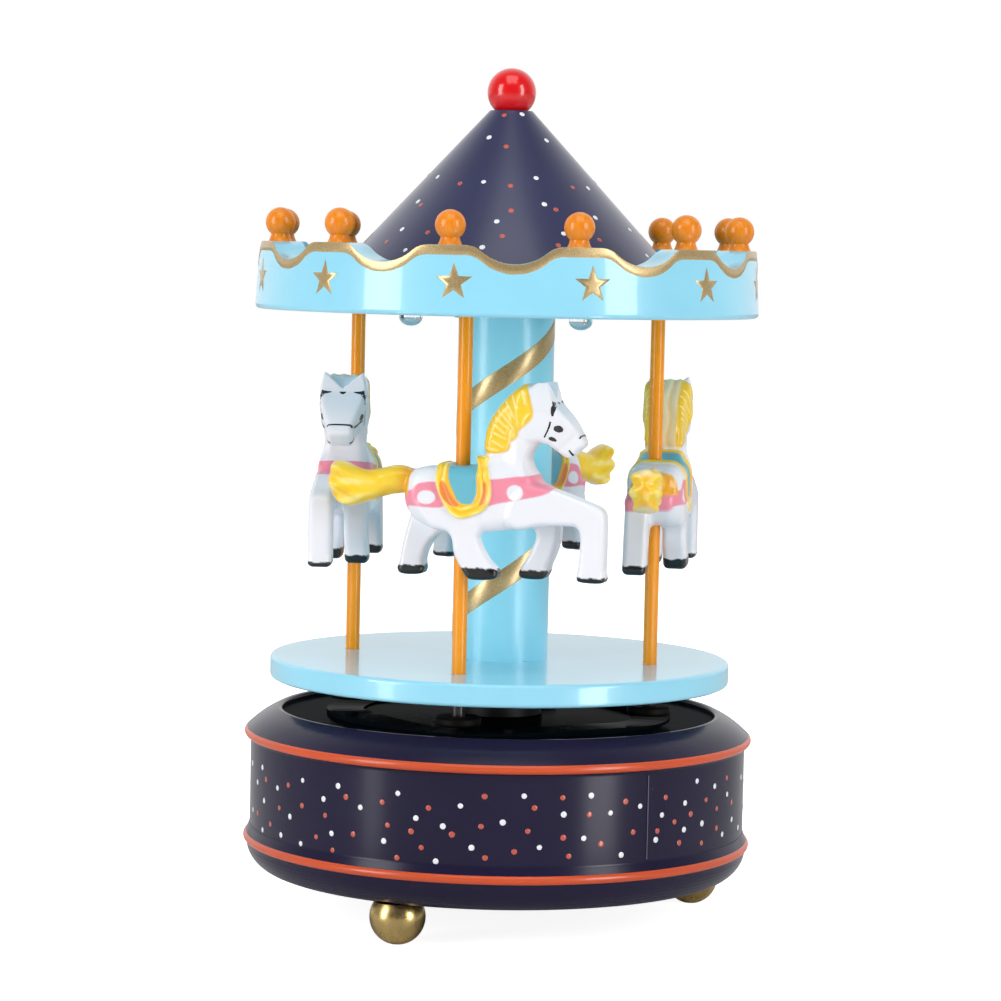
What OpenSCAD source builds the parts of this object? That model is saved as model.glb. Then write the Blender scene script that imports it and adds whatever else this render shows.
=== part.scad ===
// Carousel music box: a wooden base with a clockwork movement turns a platform
// with four horses under a scalloped canopy. Millimetres, +Z up, the feet rest on
// z = 0 and the carousel turns about the Z axis. The front looks towards -Y.

/* [Base] */
// Widest radius of the base, at its two beads
base_r = 55; // [53.5:0.5:58]
// Height of the ball feet
foot_h = 8.8; // [7:0.1:11]
// Largest radius of a ball foot
foot_r = 5.8; // [5:0.1:6.5]
// Radius of the flat that a ball foot rests on
foot_rest_r = 2.4; // [1.5:0.1:3]
// How far the middle of each foot stands in from the beads
foot_inset = 9.7; // [9.5:0.1:12]
// Height of the turned plinth ring
plinth_h = 10; // [8:0.5:14]
// Height of the dotted band between the rings
band_h = 18.2; // [16:0.2:30]
// How far the band stands in from the beads
band_inset = 1.3; // [0.8:0.1:2]
// Wall of the bent wood band
band_wall = 2.4; // [1.5:0.1:3]
// Height of the turned shoulder ring
shoulder_h = 7; // [6.5:0.1:9]
// Width of the shoulder ring around the deck
rim_w = 7.6; // [6.5:0.1:9]
// Height of each raised bead
bead_h = 1.9; // [1.2:0.1:2.2]
// Thickness of the deck board inside the rim
deck_t = 3; // [2:0.1:4]
// How far the deck lies below the rim
deck_drop = 1; // [0.5:0.1:2]
// Thickness of the bottom board
bottom_t = 2.2; // [1.6:0.1:3]

/* [Carousel] */
// Gap between the rim and the platform
platform_gap = 6.6; // [6:0.1:9]
// Radius of the platform
platform_r = 49.8; // [44:0.1:52]
// Thickness of the platform
platform_t = 4.8; // [3.5:0.1:7]
// Radius of the hub under the platform
hub_r = 9.4; // [8:0.1:12]
// Radius of the column
column_r = 10.4; // [9:0.1:13]
// Clear height between platform and canopy
column_h = 74.7; // [70:0.1:90]
// Radius of the steel spindle
spindle_r = 2.5; // [2:0.1:3]

/* [Canopy] */
// Radius of the canopy ring at its lower edge
canopy_r = 54.3; // [52:0.1:58]
// Radial thickness of the canopy ring
canopy_wall = 7.8; // [7:0.1:9]
// How far the ring's wall leans in towards its top
canopy_lean = 0.8; // [0:0.1:1.5]
// Height of the canopy ring at its peaks
canopy_h = 14.4; // [12:0.1:18]
// Depth of the scallops between the peaks
scallop_depth = 3.7; // [2:0.1:4.5]
// Width of the flat on each peak
peak_w = 8; // [6:0.5:10]
// Number of peaks, each with a knob
peak_count = 12; // [8:1:14]
// Thickness of the ceiling board
ceiling_t = 4.4; // [3.5:0.1:6]
// Radius of the knob balls
knob_r = 3.15; // [2.5:0.05:3.6]
// Radius of the cone where it meets the ceiling
cone_r = 39.3; // [38:0.1:42]
// Radius of the flat on top of the cone
cone_top_r = 4.6; // [2.5:0.1:5]
// Height of the cone
cone_h = 38.4; // [30:0.1:50]
// Wall of the hollow cone
cone_wall = 3.2; // [2:0.1:4]
// Radius of the ball on the roof
ball_r = 5.24; // [4:0.02:7]

/* [Horses] */
// Distance from the axis to each pole
pole_ring_r = 33.44; // [32:0.1:34]
// Radius of the poles
pole_r = 1.5; // [1.2:0.05:1.8]
// How far each pole lifts its horse
horse_lift = 3; // [1:0.1:3]
// Height of the hooves above the platform
hoof_gap = 19; // [16:0.1:26]
// Radius of the shoe under each pole
shoe_r = 4.8; // [3.5:0.1:5.5]
// Thickness of the shoe under each pole
shoe_t = 2; // [1.5:0.1:2.4]

/* [Lights] */
// Radius of the lamps
lamp_r = 2.5; // [1.5:0.1:3]
// Distance from the axis to each lamp
lamp_ring_r = 21.5; // [19:0.1:23]
// How far the lamps stand out under the canopy ring
lamp_drop = 3.1; // [2:0.1:5]
// Radius of the button cells
cell_r = 5.8; // [4.8:0.1:6]
// Travel of the slide switch
switch_travel = 2; // [1:0.1:2.5]

/* [Movement] */
// Radius of the spring barrel
barrel_r = 12.8; // [12:0.1:14]
// Height of the spring barrel
barrel_h = 10; // [9:0.1:12]
// Radius of the pinned cylinder
cylinder_r = 6.5; // [5:0.1:7]
// Length of the pinned cylinder
cylinder_l = 17; // [14:0.5:20]
// Number of teeth on the comb
comb_teeth = 18; // [12:1:18]
// Number of teeth on the barrel's crown gear
crown_teeth = 36; // [36:3:36]
// Number of teeth on the cylinder's pinion
pinion_teeth = 12; // [12:1:12]
// Number of teeth on the cylinder's end gear
end_teeth = 28; // [24:2:28]
// Number of teeth on the governor's pinion
governor_teeth = 14; // [12:1:14]
// Number of teeth on the governor's worm wheel
wheel_teeth = 24; // [20:1:24]
// Number of threads on the worm
worm_starts = 3; // [2:1:3]

/* [Fits] */
// Radial clearance of a turning shaft
shaft_clear = 0.05; // [0.02:0.01:0.09]
// Radial clearance of a sliding pole
pole_clear = 0.08; // [0.04:0.01:0.09]
// Small gap between parts that pass each other
pass_gap = 0.3; // [0.2:0.05:0.6]

/* [Hidden] */
$fn = 96;
navy = [0.13, 0.12, 0.22];
sky = [0.55, 0.84, 0.94];
orange = [0.88, 0.5, 0.12];
dark = [0.07, 0.09, 0.1];
gold = [0.68, 0.58, 0.36];
brass = [0.8, 0.64, 0.32];
steel = [0.66, 0.67, 0.7];
lots = 400;

// Heights, from the table up
plinth_z = foot_h;
band_z = plinth_z + plinth_h;
shoulder_z = band_z + band_h;
rim_z = shoulder_z + shoulder_h;
deck_z = rim_z - deck_drop - deck_t;
deck_top = rim_z - deck_drop;
platform_z = rim_z + platform_gap;
platform_top = platform_z + platform_t;
canopy_z = platform_top + column_h;
ceiling_recess = 0.6;
ceiling_z = canopy_z + ceiling_recess;
ceiling_top = ceiling_z + ceiling_t;
cone_top = ceiling_top + cone_h;
peak_z = canopy_z + canopy_h;

// Turned rings of the base
band_r = base_r - band_inset;
band_in_r = band_r - band_wall;
tongue_w = 2.2;
tongue_h = 3;
ring_in_r = band_in_r - tongue_w;
plinth_flat_r = base_r - 7.2;
rim_r = base_r - rim_w;
foot_ring_r = base_r - foot_inset;
bottom_rebate = 0.6;
bottom_z = plinth_z + bottom_rebate;
bottom_top = bottom_z + bottom_t;
screw_head_r = 1.9;
foot_screw_land = 2.4;
bottom_r = foot_ring_r - screw_head_r - foot_screw_land;
bottom_ledge = 3.6;
bottom_screw_ring_r = bottom_r - screw_head_r - 0.1;
shelf_t = 1.6;
shelf_top = bottom_top + shelf_t;
deck_r = rim_r - 0.5;
deck_ledge = 3.4;
ledge_t = 2;
joint_gap = 0.1;

// Screws: shank radius, head radius and head height
screw_r = 1;
screw_head_h = 0.9;
foot_angles = [243.6, 15.5, 129.5];
bottom_screw_angles = [30, 150, 270];
deck_screw_angles = [105, 225, 345];
bottom_screw_l = 3.6;
deck_screw_l = 4.2;
foot_screw_l = 4;
foot_screw_r = 1.2;

// Movement, laid out along +X from the spring barrel
bedplate_t = 1.6;
bedplate_top = shelf_top + bedplate_t;
bedplate_x = [-15, 41.4];
bedplate_y = [-26.5, 24];
movement_screw_x = [-11, 28];
movement_screw_y = [-20, 20];
barrel_gap = 1.2;
barrel_z = bedplate_top + barrel_gap;
barrel_wall = 1;
barrel_lid_t = 1.6;
barrel_top = barrel_z + barrel_h;
arbor_r = 4.2;
crown_pitch_r = 11.5;
crown_face = 2.2;
tooth_add = 0.6;
tooth_root = 0.75;
mesh_z = barrel_top + tooth_root;
pinion_pitch_r = crown_pitch_r * pinion_teeth / crown_teeth;
pinion_face = 1.2;
cylinder_z = mesh_z + pinion_pitch_r;
axle_r = 0.9;
bracket_t = 1.2;
bracket_w = 6;
inner_bracket_x = barrel_r + 0.8;
cylinder_x = inner_bracket_x + bracket_t + 0.8;
end_gear_x = cylinder_x + cylinder_l + 0.8;
gear_face = 1.4;
gear_module = 0.5;
end_pitch_r = end_teeth * gear_module / 2;
governor_pitch_r = governor_teeth * gear_module / 2;
outer_bracket_x = end_gear_x + gear_face + 0.8;
governor_drop = 35;
governor_y = -(end_pitch_r + governor_pitch_r) * cos(governor_drop);
governor_z = cylinder_z - (end_pitch_r + governor_pitch_r) * sin(governor_drop);
wheel_module = 0.45;
wheel_pitch_r = wheel_teeth * wheel_module / 2;
wheel_face = 0.8;
wheel_x = outer_bracket_x + bracket_t + 0.8;
ear_w = 4.4;
ear_in_x = end_gear_x - 0.6 - bracket_t;
ear_out_x = wheel_x + wheel_face + 1;
worm_pitch_r = 1.75;
worm_x = wheel_x + wheel_face / 2;
worm_y = governor_y - wheel_pitch_r - worm_pitch_r;
worm_lead = worm_starts * PI * wheel_module;
worm_l = 5;
fan_r = 5;
fan_h = 4.4;
fan_t = 0.6;
fan_z = governor_z + wheel_pitch_r + 1.4;
fly_pivot_r = 0.6;
fly_low_z = bedplate_top + 2.4;
fly_arm_t = 1.4;
fly_arm_z = fan_z + fan_h + 0.5;
fly_post_y = worm_y - fan_r - 2.6;
fly_post_t = 1.8;
comb_t = 1;
comb_gap = 0.35;
pin_h = 0.4;
pin_r = 0.2;
comb_tip_y = cylinder_r + pin_h + comb_gap;
comb_tooth_l = 9;
comb_body_w = 6;
comb_slot = 0.3;

// Spindle, hub and cam under the platform
hub_z = deck_top + pass_gap;
hub_flange_t = 2;
bushing_r = 4.6;
bushing_flange_r = 6.4;
bushing_flange_t = 1;
spindle_flange_r = 4.7;
spindle_flange_t = 1;
spindle_top = platform_top + 6;
spindle_foot = shelf_top + 0.6;
shoe_z = deck_top + 1.5;
cam_w = 8;
cam_base_t = 0.3;
cam_wave = shoe_z - pass_gap - deck_top - cam_base_t;
cam_steps = 48;
pole_bottom = shoe_z;
pole_top = ceiling_z + 1.3;

// Column and canopy
rod_r = 2;
rod_bore_gap = 0.2;
column_bore_r = 6;
column_cap_t = 4;
nut_r = 3.6;
nut_t = 2.4;
ring_in = canopy_r - canopy_wall;
ring_edge = 1;
scallop_pitch = 2 * PI * canopy_r / peak_count;
scallop_half = (scallop_pitch - peak_w) / 2;
scallop_sum = (scallop_half * scallop_half + scallop_depth * scallop_depth) / (2 * scallop_depth);
crest_r = scallop_sum / 3;
dip_r = scallop_sum - crest_r;
knob_ring_r = canopy_r - canopy_wall / 2;
knob_rise = 4;
knob_neck_r = 1.85;
knob_foot_r = 2.5;
knob_peg_r = 1.2;
knob_peg_l = 5;
peak_turn = 256.2;
cone_edge = 0.8;
ball_sink = 1.34;
ball_peg_r = 1.6;
ball_peg_l = 4;

// Lights
lamp_turn = 196.5;
lamp_z = canopy_z - lamp_drop;
lamp_flange_t = 1;
lamp_dome_h = 1.9;
switch_turn = 117;
switch_ring_r = 17;
switch_w = 4;
switch_l = 8.6;
switch_h = 5;
switch_z = canopy_z - 1.6;
slider_l = 3;
slider_w = 2;
slider_clear = 0.15;
slider_drop = 1.3;
slider_t = 1;
cell_t = 5.4;
cell_count = 3;
holder_wall = 1;
holder_x = 20;
wire_r = 0.5;

// Poles and horses
pole_angles = [255.2, 345.2, 75.2, 165.2];
// How far each horse is turned on its pole from its path
horse_turns = [0, 6, 69, 11];
// How far each horse's middle stands outside its pole
horse_shift = 1;
hoof_z = platform_top + hoof_gap;
saddle_growth = 0.7;
belt_growth = 0.4;
horse_bore_gap = 0.02;
loft_sides = 10;

// ---- Helpers ----

// Points on an arc around [cx, cy]
function arc(cx, cy, r, from, to, steps) =
    [for (i = [0:steps]) let (a = from + (to - from) * i / steps) [cx + r * cos(a), cy + r * sin(a)]];

// Copies turned to each angle in a list, at a distance from the axis
module around(angles, r) {
    for (a = angles) rotate(a) translate([r, 0, 0]) children();
}

// Copies turned evenly about the axis
module ring_of(count, r, first) {
    for (i = [0:count - 1]) rotate(first + 360 * i / count) translate([r, 0, 0]) children();
}

// Screw that points down, with the underside of its head at z = 0
module screw(l, r = screw_r) {
    translate([0, 0, -l]) cylinder(r = r, h = l);
    difference() {
        cylinder(r = screw_head_r, h = screw_head_h);
        translate([-screw_head_r, -0.25, screw_head_h / 2]) cube([2 * screw_head_r, 0.5, screw_head_h]);
    }
}

// Outline of a spur gear with straight-sided teeth
module gear_outline(teeth, pitch_r, width) {
    root = pitch_r - tooth_root;
    tip = pitch_r + tooth_add;
    step = 360 / teeth;
    polygon([for (i = [0:teeth - 1], p = [[root, -1.25], [tip, -0.7], [tip, 0.7], [root, 1.25]])
        let (a = step * i + p[1] * width / 2 / pitch_r * 180 / PI) p[0] * [cos(a), sin(a)]]);
}

// Spur gear on the X axis
module gear(teeth, pitch_r, face, width) {
    rotate([0, 90, 0]) linear_extrude(face) gear_outline(teeth, pitch_r, width);
}

// Loft through oval sections [x, z, tilt, half_height, half_width, y]
function full(v) = sign(v) * pow(abs(v), 0.72);
function section(s, grow, sides) = [for (i = [0:sides - 1]) let (t = 180 / sides - 360 * i / sides)
    [s[0] - sin(s[2]) * (s[3] + grow) * full(sin(t)), s[5] + (s[4] + grow) * full(cos(t)),
     s[1] + cos(s[2]) * (s[3] + grow) * full(sin(t))]];
module loft(sections, grow = 0, sides = loft_sides) {
    last = len(sections) - 1;
    points = [for (s = sections) each section(s, grow, sides)];
    walls = [for (k = [0:last - 1], i = [0:sides - 1]) let (j = (i + 1) % sides)
        [k * sides + i, k * sides + j, (k + 1) * sides + j, (k + 1) * sides + i]];
    ends = [[for (i = [sides - 1:-1:0]) i], [for (i = [0:sides - 1]) last * sides + i]];
    polyhedron(points, concat(walls, ends), convexity = 4);
}

// ---- Base ----

module plinth_profile() {
    bead_mid = band_z - bead_h - 0.9;
    edge_r = base_r - plinth_flat_r - 0.6;
    polygon(concat(
        [[bottom_r - bottom_ledge, bottom_top], [bottom_r, bottom_top], [bottom_r, plinth_z]],
        arc(plinth_flat_r, plinth_z + edge_r, edge_r, -90, -8, 10),
        arc(base_r - bead_h / 2, bead_mid, bead_h / 2, -60, 60, 6),
        arc(base_r - 0.2, band_z, 1, 210, 180, 3),
        [[band_in_r, band_z], [band_in_r, band_z + tongue_h], [ring_in_r, band_z + tongue_h],
         [ring_in_r, shelf_top], [bottom_r - bottom_ledge, shelf_top]]));
}

module base_plinth() {
    color(navy) difference() {
        rotate_extrude() plinth_profile();
        around(foot_angles, foot_ring_r) translate([0, 0, -1]) cylinder(r = foot_screw_r, h = plinth_z + 20);
        around(bottom_screw_angles, bottom_screw_ring_r) translate([0, 0, bottom_z]) cylinder(r = screw_r, h = 20);
    }
}

module base_band() {
    color(navy) difference() {
        translate([0, 0, band_z]) cylinder(r = band_r, h = band_h);
        translate([0, 0, band_z - 1]) cylinder(r = band_in_r, h = band_h + 2);
    }
}

module shoulder_profile() {
    bead_mid = shoulder_z + bead_h / 2 + 0.75;
    bead_top = bead_mid + bead_h / 2;
    slope = [base_r - 0.5, bead_top];
    rim = [rim_r + 0.7, rim_z];
    polygon(concat(
        [[ring_in_r, shoulder_z - tongue_h], [band_in_r, shoulder_z - tongue_h], [band_in_r, shoulder_z]],
        arc(base_r - 0.2, shoulder_z, 1, 180, 150, 3),
        arc(base_r - bead_h / 2, bead_mid, bead_h / 2, -60, 60, 6),
        [for (i = [0:8]) let (t = i / 8) slope + t * (rim - slope) + 0.35 * sin(180 * t) * [0.5, 0.87]],
        arc(rim_r + 0.2, rim_z - 0.6, 0.6, 80, 180, 4),
        [[deck_r + joint_gap, deck_z], [deck_r - deck_ledge, deck_z],
         [deck_r - deck_ledge, deck_z - ledge_t], [ring_in_r, deck_z - ledge_t]]));
}

module base_shoulder() {
    color(navy) difference() {
        rotate_extrude() shoulder_profile();
        around(deck_screw_angles, deck_r - deck_ledge / 2) translate([0, 0, deck_z - ledge_t - 1])
            cylinder(r = screw_r, h = ledge_t + 2);
    }
}

module base_deck() {
    color(dark) difference() {
        translate([0, 0, deck_z]) cylinder(r = deck_r, h = deck_t);
        translate([0, 0, deck_z - 1]) cylinder(r = bushing_r, h = deck_t + 2);
        around(deck_screw_angles, deck_r - deck_ledge / 2) translate([0, 0, deck_z - ledge_t])
            cylinder(r = screw_r, h = deck_screw_l);
    }
}

module deck_screws() {
    color(steel) around(deck_screw_angles, deck_r - deck_ledge / 2)
        translate([0, 0, deck_z - ledge_t]) mirror([0, 0, 1]) screw(deck_screw_l);
}

module bottom_board() {
    color(navy) difference() {
        union() {
            translate([0, 0, bottom_z]) cylinder(r = bottom_r - joint_gap, h = bottom_t);
            translate([0, 0, bottom_z]) cylinder(r = bottom_r - bottom_ledge - joint_gap, h = shelf_top - bottom_z);
        }
        around(bottom_screw_angles, bottom_screw_ring_r) translate([0, 0, bottom_z - 1]) cylinder(r = screw_r, h = 20);
        movement_screw_places() translate([0, 0, bottom_z - 1]) cylinder(r = screw_r, h = 20);
    }
}

module bottom_screws() {
    color(steel) around(bottom_screw_angles, bottom_screw_ring_r)
        translate([0, 0, bottom_z]) mirror([0, 0, 1]) screw(bottom_screw_l);
}

module foot_profile() {
    waist_z = foot_h - 1.7;
    belly = foot_r - foot_rest_r;
    polygon(concat(
        [[0, 0], [foot_rest_r, 0]],
        [for (i = [1:12]) let (a = 90 * i / 12) [foot_rest_r + belly * sin(a), waist_z * (1 - cos(a))]],
        [for (i = [1:4]) let (a = 22 * i / 4) [foot_r * cos(a), waist_z + foot_r * sin(a) * 0.782]],
        [[0, foot_h]]));
}

module feet() {
    top_z = foot_h;
    color(gold) around(foot_angles, foot_ring_r) difference() {
        intersection() {
            rotate_extrude() foot_profile();
            cylinder(r = foot_r + 1, h = top_z);
        }
        translate([0, 0, top_z - foot_screw_l]) cylinder(r = foot_screw_r, h = lots);
    }
}

module foot_screws() {
    color(steel) around(foot_angles, foot_ring_r)
        translate([0, 0, shelf_top]) screw(shelf_top - foot_h + foot_screw_l, foot_screw_r);
}

// Low track with one wave for each horse
module cam_track() {
    points = [for (i = [0:cam_steps - 1]) let (a = 360 * i / cam_steps,
            h = cam_base_t + cam_wave * (1 - cos(4 * (a - pole_angles[0]))) / 2)
        each [for (r = [pole_ring_r - cam_w / 2, pole_ring_r + cam_w / 2], z = [0, h])
            [r * cos(a), r * sin(a), deck_top + z]]];
    faces = [for (i = [0:cam_steps - 1]) let (a = 4 * i, b = 4 * ((i + 1) % cam_steps))
        each [[a, b, b + 1, a + 1], [a + 1, b + 1, b + 3, a + 3], [a + 3, b + 3, b + 2, a + 2], [a + 2, b + 2, b, a]]];
    color(dark) polyhedron(points, faces, convexity = 4);
}

module spindle_bushing() {
    color(brass) difference() {
        union() {
            translate([0, 0, deck_z]) cylinder(r = bushing_r, h = deck_t);
            translate([0, 0, deck_z - bushing_flange_t]) cylinder(r = bushing_flange_r, h = bushing_flange_t);
        }
        translate([0, 0, deck_z - 5]) cylinder(r = spindle_r + shaft_clear, h = deck_t + 10);
    }
}

// ---- Movement ----

module movement_screw_places() {
    for (x = movement_screw_x, y = movement_screw_y) translate([x, y, 0]) children();
}

module movement_bedplate() {
    size = [bedplate_x[1] - bedplate_x[0], bedplate_y[1] - bedplate_y[0]];
    color(steel) difference() {
        translate([0, 0, shelf_top]) intersection() {
            translate([bedplate_x[0], bedplate_y[0], 0]) cube([size[0], size[1], bedplate_t]);
            cylinder(r = ring_in_r - 1, h = bedplate_t);
        }
        movement_screw_places() translate([0, 0, bottom_z]) cylinder(r = screw_r, h = 20);
        translate([0, 0, shelf_top - 1]) cylinder(r = arbor_r, h = 20);
    }
}

module movement_screws() {
    color(steel) movement_screw_places() translate([0, 0, bottom_z]) mirror([0, 0, 1])
        screw(bedplate_top - bottom_z);
}

module spring_arbor() {
    lid_z = barrel_top - barrel_lid_t;
    color(brass) difference() {
        translate([0, 0, shelf_top]) cylinder(r = arbor_r, h = lid_z - pass_gap - shelf_top);
        translate([0, 0, spindle_foot - pass_gap]) cylinder(r = spindle_r + shaft_clear, h = lots);
    }
}

module mainspring() {
    turns = 6;
    steps = 16 * turns;
    strip = 0.35;
    first_r = arbor_r;
    last_r = barrel_r - barrel_wall - 1;
    radii = [for (i = [0:steps]) first_r + (last_r - first_r) * i / steps];
    color(steel) translate([0, 0, barrel_z + 1]) linear_extrude(barrel_h - barrel_lid_t - 2)
        polygon(concat(
            [for (i = [0:steps]) radii[i] * [cos(22.5 * i), sin(22.5 * i)]],
            [for (i = [steps:-1:0]) (radii[i] + strip) * [cos(22.5 * i), sin(22.5 * i)]]));
}

module comb_block() {
    block_y = comb_tip_y + comb_tooth_l;
    color(brass) difference() {
        translate([cylinder_x, block_y, bedplate_top]) cube([cylinder_l, comb_body_w, cylinder_z - comb_t / 2 - bedplate_top]);
        comb_screw_places() translate([0, 0, cylinder_z - 8]) cylinder(r = screw_r, h = lots);
    }
}

module comb_screw_places() {
    for (x = [3, cylinder_l - 3])
        translate([cylinder_x + x, comb_tip_y + comb_tooth_l + comb_body_w / 2, 0]) children();
}

module comb() {
    pitch = cylinder_l / comb_teeth;
    color(steel) difference() {
        translate([cylinder_x, comb_tip_y, cylinder_z - comb_t / 2]) cube([cylinder_l, comb_tooth_l + comb_body_w, comb_t]);
        for (i = [1:comb_teeth - 1])
            translate([cylinder_x + pitch * i - comb_slot / 2, comb_tip_y - 1, cylinder_z - comb_t])
                cube([comb_slot, 1 + comb_tooth_l * (0.55 + 0.4 * i / comb_teeth), 2 * comb_t]);
        comb_screw_places() translate([0, 0, cylinder_z - 8]) cylinder(r = screw_r, h = lots);
    }
}

module comb_screws() {
    color(steel) comb_screw_places() translate([0, 0, cylinder_z + comb_t / 2]) screw(7);
}

// Upright that carries a shaft along X, with a round head
module bearing_post(x, y, z, w, bore_r) {
    translate([x, 0, 0]) difference() {
        union() {
            translate([0, y - w / 2, bedplate_top]) cube([bracket_t, w, z - bedplate_top]);
            translate([0, y, z]) rotate([0, 90, 0]) cylinder(r = w / 2, h = bracket_t);
        }
        translate([-1, y, z]) rotate([0, 90, 0]) cylinder(r = bore_r, h = bracket_t + 2);
    }
}

module cylinder_brackets() {
    color(brass) for (x = [inner_bracket_x, outer_bracket_x])
        bearing_post(x, 0, cylinder_z, bracket_w, axle_r + shaft_clear);
}

module governor_frame() {
    color(brass) {
        for (x = [ear_in_x, ear_out_x]) bearing_post(x, governor_y, governor_z, ear_w, axle_r + shaft_clear);
        difference() {
            union() {
                translate([worm_x - 2, fly_post_y, bedplate_top]) cube([4, fly_post_t, fly_arm_z + fly_arm_t - bedplate_top]);
                for (z = [fly_low_z, fly_arm_z])
                    translate([worm_x - 2, fly_post_y, z]) cube([4, worm_y - fly_post_y + 1.6, fly_arm_t]);
            }
            translate([worm_x, worm_y, bedplate_top]) cylinder(r = fly_pivot_r + shaft_clear, h = lots);
        }
    }
}

module music_cylinder() {
    pitch = cylinder_l / comb_teeth;
    color(brass) difference() {
        union() {
            translate([cylinder_x, 0, cylinder_z]) rotate([0, 90, 0]) cylinder(r = cylinder_r, h = cylinder_l);
            for (i = [0:comb_teeth - 1], k = [0:1])
                translate([cylinder_x + pitch * (i + 0.5), 0, cylinder_z]) rotate([47 + 77 * i + 163 * k, 0, 0])
                    translate([0, 0, cylinder_r - 0.5]) cylinder(r = pin_r, h = pin_h + 0.5, $fn = 16);
        }
        translate([cylinder_x - 1, 0, cylinder_z]) rotate([0, 90, 0]) cylinder(r = axle_r, h = cylinder_l + 2);
    }
}

// Pinion, axle and end gear of the cylinder
module cylinder_gears() {
    pinion_x = crown_pitch_r - pinion_face / 2;
    color(steel) {
        translate([pinion_x, 0, cylinder_z]) rotate([180 / pinion_teeth, 0, 0])
            gear(pinion_teeth, pinion_pitch_r, pinion_face, 0.72);
        translate([end_gear_x, 0, cylinder_z]) gear(end_teeth, end_pitch_r, gear_face, 0.6);
        translate([pinion_x, 0, cylinder_z]) rotate([0, 90, 0])
            cylinder(r = axle_r, h = outer_bracket_x + bracket_t + 0.5 - pinion_x);
    }
}

// Pinion, axle and worm wheel of the governor
module governor_wheel() {
    wheel_turn = 180 / wheel_teeth;
    pinion_phase = governor_phase();
    color(brass) {
        translate([end_gear_x, governor_y, governor_z]) rotate([pinion_phase, 0, 0])
            gear(governor_teeth, governor_pitch_r, gear_face, 0.6);
        translate([wheel_x, governor_y, governor_z]) rotate([wheel_turn, 0, 0])
            gear(wheel_teeth, wheel_pitch_r, wheel_face, 0.4);
        translate([ear_in_x - 0.4, governor_y, governor_z]) rotate([0, 90, 0])
            cylinder(r = axle_r, h = ear_out_x + bracket_t + 0.8 - ear_in_x);
    }
}

// Turn that puts a gap of the governor's pinion on a tooth of the end gear
function governor_phase() =
    let (line = atan2(governor_z - cylinder_z, governor_y),
         tooth = round((line + 90) * end_teeth / 360) * 360 / end_teeth - 90,
         slip = (line - tooth) * end_teeth / governor_teeth)
    line + 270 + slip + 180 / governor_teeth;

// Worm, fan and spindle of the air brake
module air_brake() {
    twist_a = -360 * worm_l / worm_lead;
    color(steel) translate([worm_x, worm_y, 0]) {
        translate([0, 0, fly_low_z]) cylinder(r = fly_pivot_r, h = fly_arm_z + fly_arm_t - fly_low_z);
        translate([0, 0, governor_z - worm_l / 2]) linear_extrude(worm_l, twist = twist_a, slices = 30, $fn = 15)
            worm_outline();
        translate([-fan_r, -fan_t / 2, fan_z]) cube([2 * fan_r, fan_t, fan_h]);
    }
}

module worm_outline() {
    root = worm_pitch_r - tooth_root + 0.1;
    tip = worm_pitch_r + 0.45;
    step = 360 / worm_starts;
    start = 90 - 180 * worm_l / worm_lead;
    polygon([for (i = [0:worm_starts - 1], p = [[root, -60], [root, -27], [tip, -11], [tip, 11], [root, 27]])
        let (a = start + step * i + p[1]) p[0] * [cos(a), sin(a)]]);
}

// ---- Carousel ----

module spindle() {
    color(steel) {
        translate([0, 0, spindle_foot]) cylinder(r = spindle_r, h = spindle_top - spindle_foot);
        translate([0, 0, hub_z]) cylinder(r = spindle_flange_r, h = spindle_flange_t);
    }
}

module spring_barrel() {
    lid_z = barrel_top - barrel_lid_t;
    step = 360 / crown_teeth;
    color(brass) difference() {
        union() {
            translate([0, 0, barrel_z]) cylinder(r = barrel_r, h = barrel_h);
            for (i = [0:crown_teeth - 1]) rotate(step * i) crown_tooth();
        }
        translate([0, 0, barrel_z - 1]) cylinder(r = barrel_r - barrel_wall, h = lid_z - barrel_z + 1);
        translate([0, 0, barrel_z - 1]) cylinder(r = spindle_r, h = lots);
    }
}

module crown_tooth() {
    half = 0.36;
    tip = 0.22;
    h = tooth_root + tooth_add;
    translate([crown_pitch_r - crown_face / 2, 0, barrel_top - 0.2]) rotate([90, 0, 90]) linear_extrude(crown_face)
        polygon([[-half - 0.12, 0], [half + 0.12, 0], [tip, h + 0.2], [-tip, h + 0.2]]);
}

module platform_hub() {
    color(dark) difference() {
        union() {
            translate([0, 0, hub_z]) cylinder(r = hub_r - 2, h = platform_z - hub_z);
            translate([0, 0, platform_z - hub_flange_t]) cylinder(r = hub_r + 1, h = hub_flange_t);
            translate([0, 0, hub_z]) cylinder(r = hub_r, h = 3.4);
        }
        translate([0, 0, hub_z - 1]) cylinder(r = spindle_flange_r, h = spindle_flange_t + 1);
        translate([0, 0, hub_z - 1]) cylinder(r = spindle_r, h = lots);
        hub_screw_places() translate([0, 0, hub_z - 1]) cylinder(r = screw_r, h = lots);
        hub_screw_places() translate([0, 0, hub_z - 1]) cylinder(r = screw_head_r, h = 2);
    }
}

module hub_screw_places() {
    around([45, 165, 285], hub_r - 1.9 - 0.6) children();
}

module hub_screws() {
    color(steel) hub_screw_places() translate([0, 0, hub_z + 1]) mirror([0, 0, 1])
        screw(platform_top - 1 - hub_z - 1);
}

module platform() {
    edge = 0.8;
    color(sky) difference() {
        rotate_extrude() polygon(concat(
            [[0, platform_z]], arc(platform_r - edge, platform_z + edge, edge, -90, 0, 5),
            arc(platform_r - edge, platform_top - edge, edge, 0, 90, 5), [[0, platform_top]]));
        translate([0, 0, platform_z - 1]) cylinder(r = spindle_r, h = lots);
        hub_screw_places() translate([0, 0, platform_z - 1]) cylinder(r = screw_r, h = platform_t);
        around(pole_angles, pole_ring_r) translate([0, 0, platform_z - 1]) cylinder(r = pole_r + pole_clear, h = lots);
    }
}

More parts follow.
